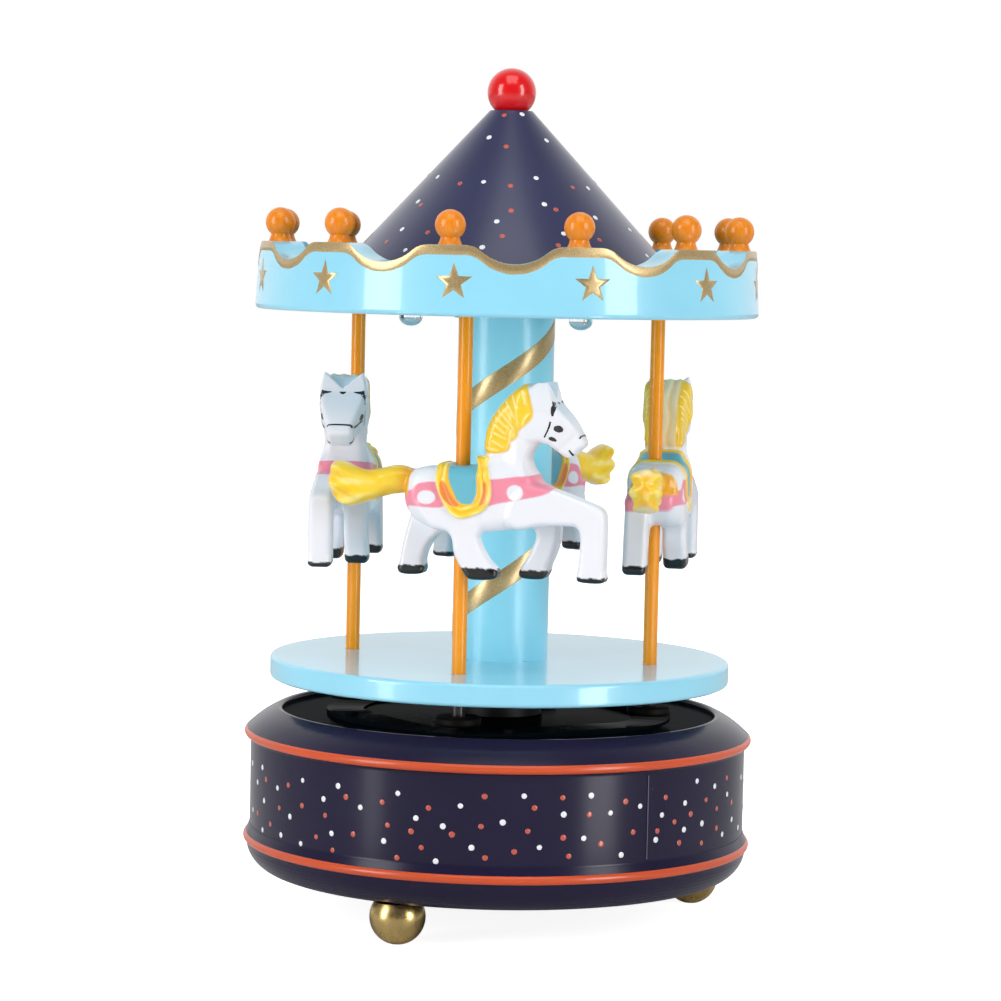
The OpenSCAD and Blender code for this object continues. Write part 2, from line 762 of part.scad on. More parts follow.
module column() {
    color(sky) difference() {
        translate([0, 0, platform_top]) cylinder(r = column_r, h = ceiling_z - platform_top);
        translate([0, 0, platform_top - 1]) cylinder(r = spindle_r, h = spindle_top - platform_top + 1);
        translate([0, 0, spindle_top]) cylinder(r = column_bore_r, h = ceiling_z - column_cap_t - spindle_top);
        translate([0, 0, platform_top]) cylinder(r = rod_r, h = lots);
    }
}

module tie_rod() {
    color(steel) translate([0, 0, spindle_top]) cylinder(r = rod_r, h = ceiling_top + nut_t + 1 - spindle_top);
}

module tie_nut() {
    color(steel) translate([0, 0, ceiling_top]) difference() {
        cylinder(r = nut_r, h = nut_t, $fn = 6);
        translate([0, 0, -1]) cylinder(r = rod_r, h = nut_t + 2);
    }
}

module canopy_ceiling() {
    color(sky) difference() {
        translate([0, 0, ceiling_z]) cylinder(r = ring_in - joint_gap, h = ceiling_t);
        translate([0, 0, ceiling_z - 1]) cylinder(r = rod_r, h = lots);
        around(pole_angles, pole_ring_r) translate([0, 0, ceiling_z - 1]) cylinder(r = pole_r + pole_clear, h = lots);
        lamp_places() translate([0, 0, ceiling_z - 1]) cylinder(r = lamp_r, h = lots);
        rotate(switch_turn) translate([switch_ring_r - switch_l / 2, -switch_w / 2, ceiling_z - 1])
            cube([switch_l, switch_w, lots]);
    }
}

// Radial cutter that leaves a smooth dip between two peaks
module scallop_cut() {
    rise = dip_r * (1 - (scallop_sum - scallop_depth) / scallop_sum);
    low = peak_z - scallop_depth;
    translate([ring_in - 1, 0, 0]) rotate([90, 0, 90]) linear_extrude(canopy_wall + 2) {
        translate([0, low + dip_r]) circle(r = dip_r);
        difference() {
            translate([-scallop_half, low + rise]) square([2 * scallop_half, 20]);
            for (x = [-scallop_half, scallop_half]) translate([x, peak_z - crest_r]) circle(r = crest_r);
        }
    }
}

module canopy_ring() {
    color(sky) difference() {
        rotate_extrude() polygon(concat(
            [[ring_in, canopy_z]],
            arc(canopy_r - ring_edge, canopy_z + ring_edge, ring_edge, -90, 0, 5),
            [[canopy_r - canopy_lean, peak_z], [ring_in, peak_z]]));
        for (i = [0:peak_count - 1]) rotate(peak_turn + 180 / peak_count + 360 * i / peak_count) scallop_cut();
        knob_places() translate([0, 0, peak_z - knob_peg_l]) cylinder(r = knob_peg_r, h = lots);
    }
}

module knob_places() {
    ring_of(peak_count, knob_ring_r, peak_turn) children();
}

module knob_profile() {
    intersection() {
        union() {
            translate([0, knob_rise]) circle(r = knob_r);
            polygon(concat([[0, 0]], [for (i = [0:5]) [knob_neck_r + (knob_foot_r - knob_neck_r) * pow(1 - i / 5, 2),
                knob_rise * 0.6 * i / 5]], [[knob_neck_r, knob_rise], [0, knob_rise]]));
            translate([-knob_peg_r, -knob_peg_l]) square([2 * knob_peg_r, knob_peg_l + 1]);
        }
        translate([0, -knob_peg_l]) square([knob_r + 1, knob_peg_l + knob_rise + knob_r + 1]);
    }
}

module crown_knobs() {
    color(orange) knob_places() translate([0, 0, peak_z]) rotate_extrude() knob_profile();
}

module roof_cone() {
    slope = (cone_r - cone_top_r) / cone_h;
    cavity_h = cone_h * 0.62;
    color(navy) difference() {
        rotate_extrude() polygon([[0, ceiling_top], [cone_r, ceiling_top], [cone_r, ceiling_top + cone_edge],
            [cone_top_r, cone_top], [0, cone_top]]);
        translate([0, 0, ceiling_top - 1]) rotate_extrude() polygon([[0, 0], [cone_r - cone_wall, 0],
            [cone_r - cone_wall, 1], [cone_r - cone_wall - slope * cavity_h, 1 + cavity_h], [0, 1 + cavity_h]]);
        translate([0, 0, cone_top - ball_peg_l]) cylinder(r = ball_peg_r, h = lots);
    }
}

module roof_ball() {
    color("red") difference() {
        union() {
            translate([0, 0, cone_top + ball_r - ball_sink]) sphere(r = ball_r);
            translate([0, 0, cone_top - ball_peg_l]) cylinder(r = ball_peg_r, h = ball_peg_l + 1);
        }
        translate([0, 0, cone_top - 20]) difference() {
            cylinder(r = ball_r + 1, h = 20);
            translate([0, 0, -1]) cylinder(r = ball_peg_r, h = 30);
        }
    }
}

// ---- Lights ----

module lamp_places() {
    ring_of(3, lamp_ring_r, lamp_turn) children();
}

module lamps() {
    color([0.8, 0.9, 0.95]) lamp_places() {
        translate([0, 0, lamp_z + lamp_dome_h]) scale([1, 1, lamp_dome_h / lamp_r]) sphere(r = lamp_r);
        translate([0, 0, lamp_z + lamp_dome_h]) cylinder(r = lamp_r, h = ceiling_top - lamp_z - lamp_dome_h);
        translate([0, 0, ceiling_top]) cylinder(r = lamp_r + 0.4, h = lamp_flange_t);
    }
}

module battery_holder() {
    l = cell_count * cell_t;
    w = 2 * cell_r;
    color(dark) translate([holder_x, 0, ceiling_top]) difference() {
        translate([-w / 2 - holder_wall, -l / 2 - holder_wall, 0])
            cube([w + 2 * holder_wall, l + 2 * holder_wall, cell_r + holder_wall]);
        translate([0, -l / 2, cell_r + holder_wall]) rotate([-90, 0, 0]) cylinder(r = cell_r, h = l);
    }
}

module button_cells() {
    l = cell_count * cell_t;
    color(steel) for (i = [0:cell_count - 1])
        translate([holder_x, -l / 2 + i * cell_t, ceiling_top + cell_r + holder_wall]) rotate([-90, 0, 0])
            cylinder(r = cell_r, h = cell_t - 0.1);
}

// Leads from each lamp to the battery holder, laid on the ceiling board
module lamp_wires() {
    color("red") {
        difference() {
            translate([0, 0, ceiling_top]) cylinder(r = lamp_ring_r - lamp_r - 1.2, h = wire_r * 2);
            translate([0, 0, ceiling_top - 1]) cylinder(r = lamp_ring_r - lamp_r - 1.2 - 2 * wire_r, h = 4);
            translate([holder_x - cell_r - holder_wall, -lots / 2, ceiling_top - 1]) cube([lots, lots, 4]);
        }
    }
}

module switch_body() {
    color(dark) rotate(switch_turn) translate([switch_ring_r, 0, 0]) difference() {
        translate([-switch_l / 2, -switch_w / 2, switch_z]) cube([switch_l, switch_w, switch_h]);
        translate([-slider_l / 2 - slider_clear, -slider_w / 2 - slider_clear, switch_z - 1])
            cube([slider_l + switch_travel + 2 * slider_clear, slider_w + 2 * slider_clear, slider_t + 1 + pass_gap]);
    }
}

module switch_slider() {
    color(dark) rotate(switch_turn) translate([switch_ring_r, 0, 0])
        translate([-slider_l / 2, -slider_w / 2, switch_z - slider_drop]) cube([slider_l, slider_w, slider_drop + slider_t]);
}

// ---- Poles and horses ----

module pole(i) {
    color(orange) rotate(pole_angles[i]) translate([pole_ring_r, 0, pole_bottom])
        cylinder(r = pole_r, h = pole_top - pole_bottom);
}

module pole_shoe(i) {
    color([0.45, 0.3, 0.18]) rotate(pole_angles[i]) translate([pole_ring_r, 0, shoe_z]) difference() {
        rotate_extrude() polygon(concat([[0, 0]], arc(shoe_r - 0.7, 0.7, 0.7, -90, 0, 4), [[shoe_r, shoe_t - 0.4],
            [shoe_r - 0.4, shoe_t], [0, shoe_t]]));
        translate([0, 0, -1]) cylinder(r = pole_r, h = shoe_t + 2);
    }
}

// A horse in its own frame: the pole is the Z axis, hooves at z = hoof_foot, head towards +X
torso = [
    [-11.3, 19.4, 0, 2.6, 3.4, 0], [-10.3, 18.8, 0, 4.4, 5.2, 0], [-8, 18.2, 0, 5.7, 6.1, 0],
    [-4, 17.8, 0, 6.2, 6.2, 0], [1, 17.7, 0, 6.3, 6.2, 0], [6, 17.9, 0, 6.4, 6.2, 0],
    [11, 18.5, 0, 6.4, 6, 0], [14.5, 18.4, 0, 5.9, 5.6, 0], [17.5, 17.6, 0, 4.4, 5.2, 0], [19.8, 17.2, 0, 2.8, 4, 0]];
neck = [
    [7.8, 19, 40, 5.4, 5.2, 0], [9.2, 24.2, 62, 5, 4.8, 0], [10.8, 29, 66, 4.5, 4.3, 0],
    [12.2, 33, 60, 4.2, 4.2, 0], [14.2, 36.4, 30, 3.9, 4.2, 0], [15.6, 37.6, 5, 2.8, 3.6, 0]];
head = [
    [13.4, 37.2, -20, 2.4, 3.8, 0], [15.4, 36, -35, 4.2, 4.9, 0], [18.4, 34.1, -46, 4.2, 5, 0],
    [21, 31.9, -50, 3.4, 4.4, 0], [23.2, 29.9, -50, 2.7, 3.5, 0], [24.9, 28.6, -46, 2, 3, 0],
    [25.8, 28, -44, 1.2, 2.4, 0]];
tail = [
    [-10, 20.9, 0, 2, 1.8, 0], [-13, 21.2, -4, 2.8, 2.1, 0], [-17, 20.5, -6, 3, 2.4, 0],
    [-21.2, 19.5, 4, 3.6, 2.8, 0], [-24.2, 19.7, 10, 4.3, 3.1, 0], [-26.6, 20.3, 14, 4.1, 3.1, 0],
    [-28.1, 20.6, 16, 2.8, 2.4, 0], [-28.8, 20.6, 16, 1.4, 1.2, 0]];
// Each leg runs down from the body to the hoof
legs = [
    [[14, 16.4, -4, 4.2, 2.6, -3.5], [20, 16.8, -8, 3.9, 2.6, -3.6], [25, 16.1, -14, 3.1, 2.6, -3.6],
     [28.8, 14.2, -54, 3.2, 2.6, -3.6], [29.2, 10.6, -88, 2.6, 2.6, -3.6], [29.1, 6.5, -90, 2.6, 2.6, -3.6],
     [29.1, 3.1, -90, 2.8, 2.6, -3.6]],
    [[15.4, 15.6, -72, 4.2, 2.6, 3.5], [18, 10.8, -84, 2.5, 2.6, 3.6], [17.7, 8.4, -102, 2.5, 2.6, 3.6],
     [16.6, 5.9, -112, 2.6, 2.6, 3.6], [15.6, 3.9, -100, 2.8, 2.6, 3.6], [15.4, 3.1, -90, 2.9, 2.6, 3.6]],
    [[-2.4, 15.4, -64, 4.6, 2.6, -3.5], [1.6, 11, -66, 3, 2.6, -3.6], [2.8, 8.2, -66, 2.7, 2.6, -3.6],
     [4.2, 5.5, -62, 2.6, 2.6, -3.6], [5.4, 3.9, -72, 3, 2.6, -3.6], [5.9, 3.1, -90, 3.4, 2.6, -3.6]],
    [[-7.4, 16.4, -104, 4.2, 2.6, 3.5], [-8.9, 11.2, -112, 3.3, 2.6, 3.6], [-10.3, 8.2, -104, 2.8, 2.6, 3.6],
     [-10.9, 5.6, -96, 2.6, 2.6, 3.6], [-11.1, 3.9, -92, 2.7, 2.6, 3.6], [-11.2, 3.1, -90, 2.9, 2.6, 3.6]]];
hoof_w = 5.2;
hoof_foot = 1.5;
hoof_top = 3.2;
horse_h = 42;

module leg(points) {
    last = points[len(points) - 1];
    loft(points, sides = 8);
    hull() {
        translate([last[0], last[5], hoof_foot]) scale([2 * last[3] / hoof_w, 1, 1]) cylinder(d = hoof_w, h = 0.1, $fn = 10);
        translate([last[0], last[5], hoof_top]) scale([2 * last[3] / hoof_w, 1, 1])
            cylinder(d = hoof_w * 0.94, h = 0.1, $fn = 10);
    }
}

module side_cut(w) {
    rotate([90, 0, 0]) linear_extrude(w, center = true) children();
}

module mane() {
    side_cut(8.6) polygon([[4.2, 27], [4.3, 30.4], [5.4, 33.6], [7.4, 37], [10.2, 39.8], [12.8, 41.3], [14.8, 41.2],
        [15.4, 38], [14.8, 34.4], [11.4, 30.2], [10, 27.6]]);
}

module saddle() {
    intersection() {
        loft(torso, saddle_growth);
        side_cut(30) difference() {
            translate([-0.6, 20.4]) scale([1, 1.25]) circle(r = 5.8, $fn = 18);
            translate([0, 8]) circle(r = 3, $fn = 12);
        }
    }
    hull() {
        translate([3.6, 0, 24.6]) scale([0.8, 2, 1]) sphere(r = 1.2, $fn = 8);
        translate([3.2, 0, 23]) scale([1, 2, 1]) sphere(r = 1.6, $fn = 8);
    }
    hull() {
        translate([-5, 0, 24.2]) scale([0.8, 2.4, 1]) sphere(r = 0.9, $fn = 8);
        translate([-4.6, 0, 22.8]) scale([1, 2.4, 1]) sphere(r = 1.4, $fn = 8);
    }
}

module belt() {
    intersection() {
        loft(torso, belt_growth);
        side_cut(30) polygon([[-12, 16.8], [-5, 16.2], [5, 16.4], [21, 19.6], [21, 23.6], [8, 22.6], [5, 20.4],
            [-5, 20.2], [-12, 20.8]]);
    }
}

module ears() {
    for (y = [-2.9, 2.9]) hull() {
        translate([16.2, y, 38.4]) scale([1, 1.2, 1]) sphere(r = 1.7, $fn = 8);
        translate([17.7, y * 1.42, 42]) sphere(r = 0.5, $fn = 6);
    }
}

module horse_shape() {
    loft(torso);
    loft(neck);
    loft(head);
    loft([for (i = [len(tail) - 1:-1:0]) tail[i]]);
    for (l = legs) leg(l);
    mane();
    saddle();
    belt();
    ears();
}

module horse(i) {
    color("white") rotate(pole_angles[i]) translate([pole_ring_r, 0, hoof_z]) rotate(90 + horse_turns[i]) difference() {
        translate([0, -horse_shift, 0]) horse_shape();
        translate([0, 0, -1]) cylinder(r = pole_r + horse_bore_gap, h = horse_h + 2, $fn = 16);
    }
}

base_plinth();
base_band();
base_shoulder();
base_deck();
bottom_board();
bottom_screws();
feet();
foot_screws();
deck_screws();
cam_track();
spindle_bushing();
movement_bedplate();
movement_screws();
spring_arbor();
mainspring();
comb_block();
comb();
comb_screws();
cylinder_brackets();
governor_frame();
spindle();
spring_barrel();
platform_hub();
hub_screws();
platform();
column();
tie_rod();
tie_nut();
canopy_ceiling();
canopy_ring();
crown_knobs();
roof_cone();
roof_ball();
lamps();
battery_holder();
button_cells();
lamp_wires();
switch_body();
switch_slider();
music_cylinder();
cylinder_gears();
governor_wheel();
air_brake();
pole(0);  // pole_1
pole(1);  // pole_2
pole(2);  // pole_3
pole(3);  // pole_4
horse(0);  // horse_1
horse(1);  // horse_2
horse(2);  // horse_3
horse(3);  // horse_4
pole_shoe(0);  // pole_shoe_1
pole_shoe(1);  // pole_shoe_2
pole_shoe(2);  // pole_shoe_3
pole_shoe(3);  // pole_shoe_4
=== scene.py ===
"""Looks of the carousel music box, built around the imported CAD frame.

Lengths are in metres through MM. +Z is up, the carousel turns about Z and the
front looks towards -Y. Each horse has a frame of its own: its pole runs along Z,
its head looks along +X and its left side along +Y.
"""
import math
import random

import bpy
import numpy as np
from mathutils import Matrix, Vector
from mathutils.bvhtree import BVHTree

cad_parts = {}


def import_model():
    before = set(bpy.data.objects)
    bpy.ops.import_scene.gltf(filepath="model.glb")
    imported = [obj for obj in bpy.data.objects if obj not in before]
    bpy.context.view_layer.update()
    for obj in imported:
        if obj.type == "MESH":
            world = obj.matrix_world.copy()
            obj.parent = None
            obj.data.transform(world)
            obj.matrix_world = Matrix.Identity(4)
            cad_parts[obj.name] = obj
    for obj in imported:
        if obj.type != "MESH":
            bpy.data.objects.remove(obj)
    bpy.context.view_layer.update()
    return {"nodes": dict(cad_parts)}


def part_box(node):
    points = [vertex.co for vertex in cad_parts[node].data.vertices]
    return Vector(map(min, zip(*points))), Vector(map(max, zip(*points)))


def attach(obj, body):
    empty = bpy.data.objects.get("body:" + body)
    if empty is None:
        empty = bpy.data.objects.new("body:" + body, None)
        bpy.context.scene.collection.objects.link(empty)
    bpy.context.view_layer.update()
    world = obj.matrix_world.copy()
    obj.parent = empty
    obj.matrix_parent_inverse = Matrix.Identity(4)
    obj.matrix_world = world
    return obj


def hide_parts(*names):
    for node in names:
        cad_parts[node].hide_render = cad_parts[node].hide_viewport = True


MM = 0.001

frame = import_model()
NODES = frame["nodes"]
SCENE = bpy.context.scene

# ---- Places read from the frame ----


def low(node):
    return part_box(node)[0]


def high(node):
    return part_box(node)[1]


BAND_LOW = low("base_band").z
BAND_HIGH = high("base_band").z
BAND_R = high("base_band").x
BEAD_R = high("base_plinth").x
PLATFORM_TOP = high("platform").z
COLUMN_R = high("column").x
CANOPY_LOW = low("canopy_ring").z
CANOPY_HIGH = high("canopy_ring").z
CANOPY_R = high("canopy_ring").x
CEILING_LOW = low("canopy_ceiling").z
CONE_LOW = low("roof_cone").z
CONE_HIGH = high("roof_cone").z
CONE_R = high("roof_cone").x

# ---- Driving sizes of what this script adds, in millimetres ----
BEAD_H = 1.9
# How far the middles of the two painted lines stand out from the band's edges
UPPER_LINE_OUT = 1.7
LOWER_LINE_OUT = 2.8
CANOPY_LEAN = 0.8
PEAK_COUNT = 12
PEAK_TURN = 256.2
PEAK_W = 8
SCALLOP_DEPTH = 3.7
TRIM_W = 2.0
STAR_R = 4.0
STAR_RISE = 6.9
PAINT_T = 0.06
STRIPE_PITCH = 43.9
STRIPE_W = 5.0
STRIPE_TURN = 72.9
STRIPE_STEPS = 140
DOT_R = 0.6
FOOT_BALL_R = 5.85
FOOT_BALL_Z = 5.6
FOOT_RING_R = 45.3
FOOT_TURNS = (243.6, 15.5, 129.5)
FOOT_SIDES = 64
CONE_TOP_R = 4.6
# How far the painted cone stands above the low edge of the roof cone
CONE_FOOT = 0.8
SEAM_TURN = 305.2

# ---- Camera, as fitted to the picture ----
PICTURE = 1001
CAMERA_AT = Vector((-3.61, -752.40, 144.49)) * MM
CAMERA_YAW = 0.0041
CAMERA_PITCH = 0.0731
CAMERA_ROLL = 0.0218
FOCAL_PIXELS = 3476.49
SENSOR = 36

# ---- Small helpers ----


def linear(rgb):
    """A colour given as 0 to 255 screen values, as linear light."""
    values = [c / 255 for c in rgb]
    return tuple(c / 12.92 if c <= 0.04045 else ((c + 0.055) / 1.055) ** 2.4 for c in values)


def polar(radius, degrees, z):
    angle = math.radians(degrees)
    return Vector((radius * math.cos(angle), radius * math.sin(angle), z))


def strip_faces(rows, columns, closed=False, flip=False):
    """Quads between rows of points. A closed strip joins its last row to its first."""
    faces = []
    for i in range(rows if closed else rows - 1):
        a = i * columns
        b = (i + 1) % rows * columns
        for k in range(columns - 1):
            if flip:
                faces.append((a + k, a + k + 1, b + k + 1, b + k))
            else:
                faces.append((a + k, b + k, b + k + 1, a + k + 1))
    return faces


def cap_faces(rings, sides):
    """Faces of a low cap: rings of points from the outside in, then one point in the middle."""
    faces = []
    for k in range(rings - 1):
        for i in range(sides):
            j = (i + 1) % sides
            faces.append((k * sides + i, k * sides + j, (k + 1) * sides + j, (k + 1) * sides + i))
    last = (rings - 1) * sides
    return faces + [(last + i, last + (i + 1) % sides, rings * sides) for i in range(sides)]


def turned(profile, sides, centre=Vector((0, 0, 0))):
    """A profile of (radius, z) turned about a vertical line, as points and faces."""
    points = [centre + polar(radius, 360 * i / sides, z) for i in range(sides) for radius, z in profile]
    return points, strip_faces(sides, len(profile), closed=True)


def merged(parts):
    """One list of points and one of faces from several (points, faces) pairs."""
    points = []
    faces = []
    for part_points, part_faces in parts:
        first = len(points)
        points += [tuple(p) for p in part_points]
        faces += [tuple(first + i for i in face) for face in part_faces]
    return points, faces


def put(name, data):
    """A new object in the scene."""
    made = bpy.data.objects.new(name, data)
    SCENE.collection.objects.link(made)
    return made


def add_piece(name, parts, body, material):
    """One smooth mesh from (points, faces) pairs in metres, which rides on a body."""
    points, faces = merged(parts)
    mesh = bpy.data.meshes.new(name)
    mesh.from_pydata(points, [], faces)
    mesh.update()
    mesh.shade_smooth()
    mesh.materials.append(MATERIALS[material])
    piece = put(name, mesh)
    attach(piece, body)
    return piece


def sharpen(piece, degrees=35):
    """Smooth shading with sharp edges over an angle."""
    piece.data.shade_smooth()
    piece.data.set_sharp_from_angle(angle=math.radians(degrees))


def make_camera():
    """The camera looks along +Y, a little down, and is rolled a little."""
    ahead = Vector((
        math.sin(CAMERA_YAW) * math.cos(CAMERA_PITCH),
        math.cos(CAMERA_YAW) * math.cos(CAMERA_PITCH),
        -math.sin(CAMERA_PITCH),
    ))
    right = ahead.cross(Vector((0, 0, 1))).normalized()
    up = right.cross(ahead)
    rolled_right = math.cos(CAMERA_ROLL) * right + math.sin(CAMERA_ROLL) * up
    rolled_up = -math.sin(CAMERA_ROLL) * right + math.cos(CAMERA_ROLL) * up
    data = bpy.data.cameras.new("camera")
    data.sensor_width = SENSOR
    data.lens = FOCAL_PIXELS / PICTURE * SENSOR
    data.clip_start = 0.01
    data.clip_end = 20
    camera = put("camera", data)
    turn = Matrix((rolled_right, rolled_up, -ahead)).transposed().to_4x4()
    camera.matrix_world = Matrix.Translation(CAMERA_AT) @ turn
    SCENE.camera = camera


# ---- Materials ----


class Graph:
    """Short calls for the nodes of a material or a world."""

    def __init__(self, owner):
        owner.use_nodes = True
        self.tree = owner.node_tree
        self.tree.nodes.clear()

    def feed(self, target, value):
        """Give an input a plain value, or link it to another node's output."""
        if isinstance(value, bpy.types.NodeSocket):
            self.tree.links.new(value, target)
        else:
            target.default_value = value

    def node(self, kind, **settings):
        """A new node. A setting is one of its properties, or an input with _ for each space."""
        made = self.tree.nodes.new("ShaderNode" + kind)
        for key, value in settings.items():
            if key in made.bl_rna.properties:
                setattr(made, key, value)
            else:
                self.feed(made.inputs[key.replace("_", " ")], value)
        return made

    def ramp(self, factor, stops):
        made = self.node("ValToRGB", Fac=factor)
        elements = made.color_ramp.elements
        while len(elements) < len(stops):
            elements.new(0.5)
        for element, (position, colour) in zip(elements, stops):
            element.position = position
            element.color = (*colour, 1)
        return made.outputs["Color"]

    def choose(self, factor, first, second):
        """A mix of two surfaces: the first where the factor is 0."""
        made = self.node("MixShader")
        for value, target in zip((factor, first, second), made.inputs):
            self.feed(target, value)
        return made.outputs["Shader"]


class Shader(Graph):
    """A material with one principled surface."""

    def __init__(self, name):
        self.material = bpy.data.materials.new(name)
        super().__init__(self.material)
        self.principled = self.node("BsdfPrincipled")
        self.node("OutputMaterial", Surface=self.principled.outputs["BSDF"])

    def set(self, colour, **values):
        self.feed(self.principled.inputs["Base Color"], colour)
        for key, value in values.items():
            self.feed(self.principled.inputs[key.replace("_", " ")], value)

    def place(self):
        return self.node("TexCoord").outputs["Object"]

    def noise(self, scale, detail=2.0, stretch=(1, 1, 1)):
        """Noise in object space, with its scale in bumps per metre."""
        mapping = self.node("Mapping", Scale=stretch, Vector=self.place())
        texture = self.node("TexNoise", Scale=scale, Detail=detail, Vector=mapping.outputs["Vector"])
        return texture.outputs["Fac"]

    def spread(self, factor, least, most):
        return self.node("MapRange", To_Min=least, To_Max=most, Value=factor).outputs["Result"]

    def bump(self, height, strength, distance):
        made = self.node("Bump", Strength=strength, Distance=distance, Height=height)
        self.feed(self.principled.inputs["Normal"], made.outputs["Normal"])

    def mix(self, factor, first, second):
        made = self.node("Mix", data_type="RGBA")
        for index, value in ((0, factor), (6, first), (7, second)):
            self.feed(made.inputs[index], (*value, 1) if isinstance(value, tuple) else value)
        return made.outputs[2]


def two_stops(rgb, dark, light, low_stop=0.3, high_stop=0.7):
    """Two stops of a ramp: a colour times a dark and a light factor."""
    colour = linear(rgb)
    return [(low_stop, tuple(c * dark for c in colour)), (high_stop, tuple(c * light for c in colour))]


def lacquer(name, rgb, roughness=0.25, coat=0.8, coat_roughness=0.06, grain=0.0, variation=0.08,
            level=0.5, ior=1.45):
    """Paint under clear lacquer. level and ior say how much the paint itself reflects."""
    s = Shader(name)
    cloud = s.noise(45, 3)
    s.set(s.ramp(cloud, two_stops(rgb, 1 - variation, 1 + variation)), Roughness=roughness, Coat_Weight=coat,
          Coat_Roughness=coat_roughness, Specular_IOR_Level=level, IOR=ior)
    s.bump(s.noise(260, 2, (1, 1, 0.35)), 0.05 + grain, 0.00012)
    return s.material


def stained_wood(name, rgb, dark):
    """Amber stain with a faint vertical grain, under gloss."""
    s = Shader(name)
    grain = s.noise(900, 3, (1, 1, 0.12))
    s.set(s.ramp(grain, [(0.25, linear(dark)), (0.7, linear(rgb))]),
          Roughness=0.36, Coat_Weight=0.25, Coat_Roughness=0.1, Specular_IOR_Level=0.35)
    s.bump(grain, 0.05, 0.00006)
    return s.material


def pole_paint():
    """Orange yellow paint on the rod, dark brown below the underside of the platform, through which it runs.
    """
    s = Shader("pole_paint")
    grain = s.noise(900, 3, (1, 1, 0.04))
    paint = s.ramp(grain, [(0.25, linear((246, 146, 6))), (0.7, linear((255, 162, 10)))])
    height = s.node("SeparateXYZ", Vector=s.place()).outputs["Z"]
    hole = low("platform").z
    below = s.node("MapRange", From_Min=hole, From_Max=hole - 0.4 * MM, Value=height)
    s.set(s.mix(below.outputs["Result"], paint, linear((40, 34, 28))),
          Roughness=0.34, Coat_Weight=0.3, Coat_Roughness=0.1, Specular_IOR_Level=0.35)
    s.bump(grain, 0.05, 0.00006)
    return s.material


def metal(name, rgb, roughness=0.25, brushed=(1, 1, 1), scale=900, bump=0.15):
    s = Shader(name)
    scratch = s.noise(scale, 3, brushed)
    s.set(s.ramp(scratch, two_stops(rgb, 0.82, 1.08, 0.25, 0.75)), Metallic=1.0,
          Roughness=s.spread(scratch, roughness * 0.75, roughness * 1.3))
    s.bump(scratch, bump, 0.00006)
    return s.material


def gold_paint():
    """Gold powder paint, brushed by hand: fine glitter in a warm grey gold."""
    s = Shader("gold_paint")
    powder = s.noise(5200, 2)
    stroke = s.noise(520, 3, (1, 1, 0.4))
    base = s.ramp(powder, [(0.35, linear((166, 141, 94))), (0.65, linear((214, 188, 138)))])
    s.set(s.mix(s.spread(stroke, 0, 0.6), base, linear((186, 160, 112))),
          Metallic=0.55, Roughness=s.spread(powder, 0.26, 0.42), Coat_Weight=0.35, Coat_Roughness=0.12)
    s.bump(powder, 0.18, 0.00003)
    return s.material


def plastic(name, rgb, roughness=0.4):
    s = Shader(name)
    fine = s.noise(2600, 2)
    s.set(s.ramp(fine, two_stops(rgb, 0.9, 1.1)), Roughness=roughness)
    s.bump(fine, 0.15, 0.00004)
    return s.material


def clear_epoxy():
    s = Shader("clear_epoxy")
    s.set(s.ramp(s.noise(300, 2), [(0.3, (0.9, 0.96, 0.98)), (0.7, (0.97, 0.99, 1.0))]),
          Roughness=0.03, IOR=1.5, Transmission_Weight=1.0)
    return s.material


def painted_horse():
    """Gloss paint whose colours are in the mesh's paint attribute."""
    s = Shader("horse_paint")
    s.set(s.node("Attribute", attribute_name="paint").outputs["Color"],
          Roughness=0.34, Coat_Weight=0.35, Coat_Roughness=0.12, Specular_IOR_Level=0.4)
    s.bump(s.noise(900, 3), 0.06, 0.00015)
    return s.material


# Name, colour, then roughness, coat, coat roughness, grain, variation, level and ior of each lacquer
LACQUERS = {
    "navy": ("navy_lacquer", (30, 26, 52), 0.22, 0, 0.05, 0.02, 0.12, 0.22),
    # The roof cone's copy of the navy paint, lighter than the base's navy: painted light on the roof
    "cone": ("cone_lacquer", (46, 49, 84), 0.3, 0.5, 0.12, 0.02, 0.1, 0.3),
    "deck": ("deck_lacquer", (14, 22, 27), 0.12, 0, 0.02, 0, 0.2, 0.5, 1.008),
    "sky": ("sky_lacquer", (148, 219, 243), 0.3, 0.7, 0.07, 0.02, 0.03),
    # The column's copy of the sky paint, lighter than the sky's: painted light on the column
    "column": ("column_lacquer", (150, 229, 252), 0.34, 0.35, 0.16, 0.02, 0.03),
    # A pale copy of the navy for the seam's edge: a painted highlight
    "seam_highlight_paint": ("seam_painted_highlight", (98, 97, 116), 0.4, 0, 0.1, 0, 0.2, 0.3),
    "bead": ("bead_paint", (206, 82, 44), 0.3, 0.2, 0.08, 0, 0.08, 0.3),
    "red": ("red_paint", (224, 12, 18), 0.25, 0.5, 0.05, 0, 0.05),
    "shoe": ("shoe_wood", (20, 15, 12), 0.55, 0, 0.1, 0.04, 0.25, 0.2),
    "white_dot": ("white_dot_paint", (236, 238, 244), 0.35, 0.6, 0.1, 0, 0.02),
    "red_dot": ("red_dot_paint", (190, 78, 56), 0.35, 0.6, 0.1, 0, 0.08),
    "ink": ("ink_paint", (20, 20, 24), 0.3, 0.7, 0.1, 0, 0.1),
}
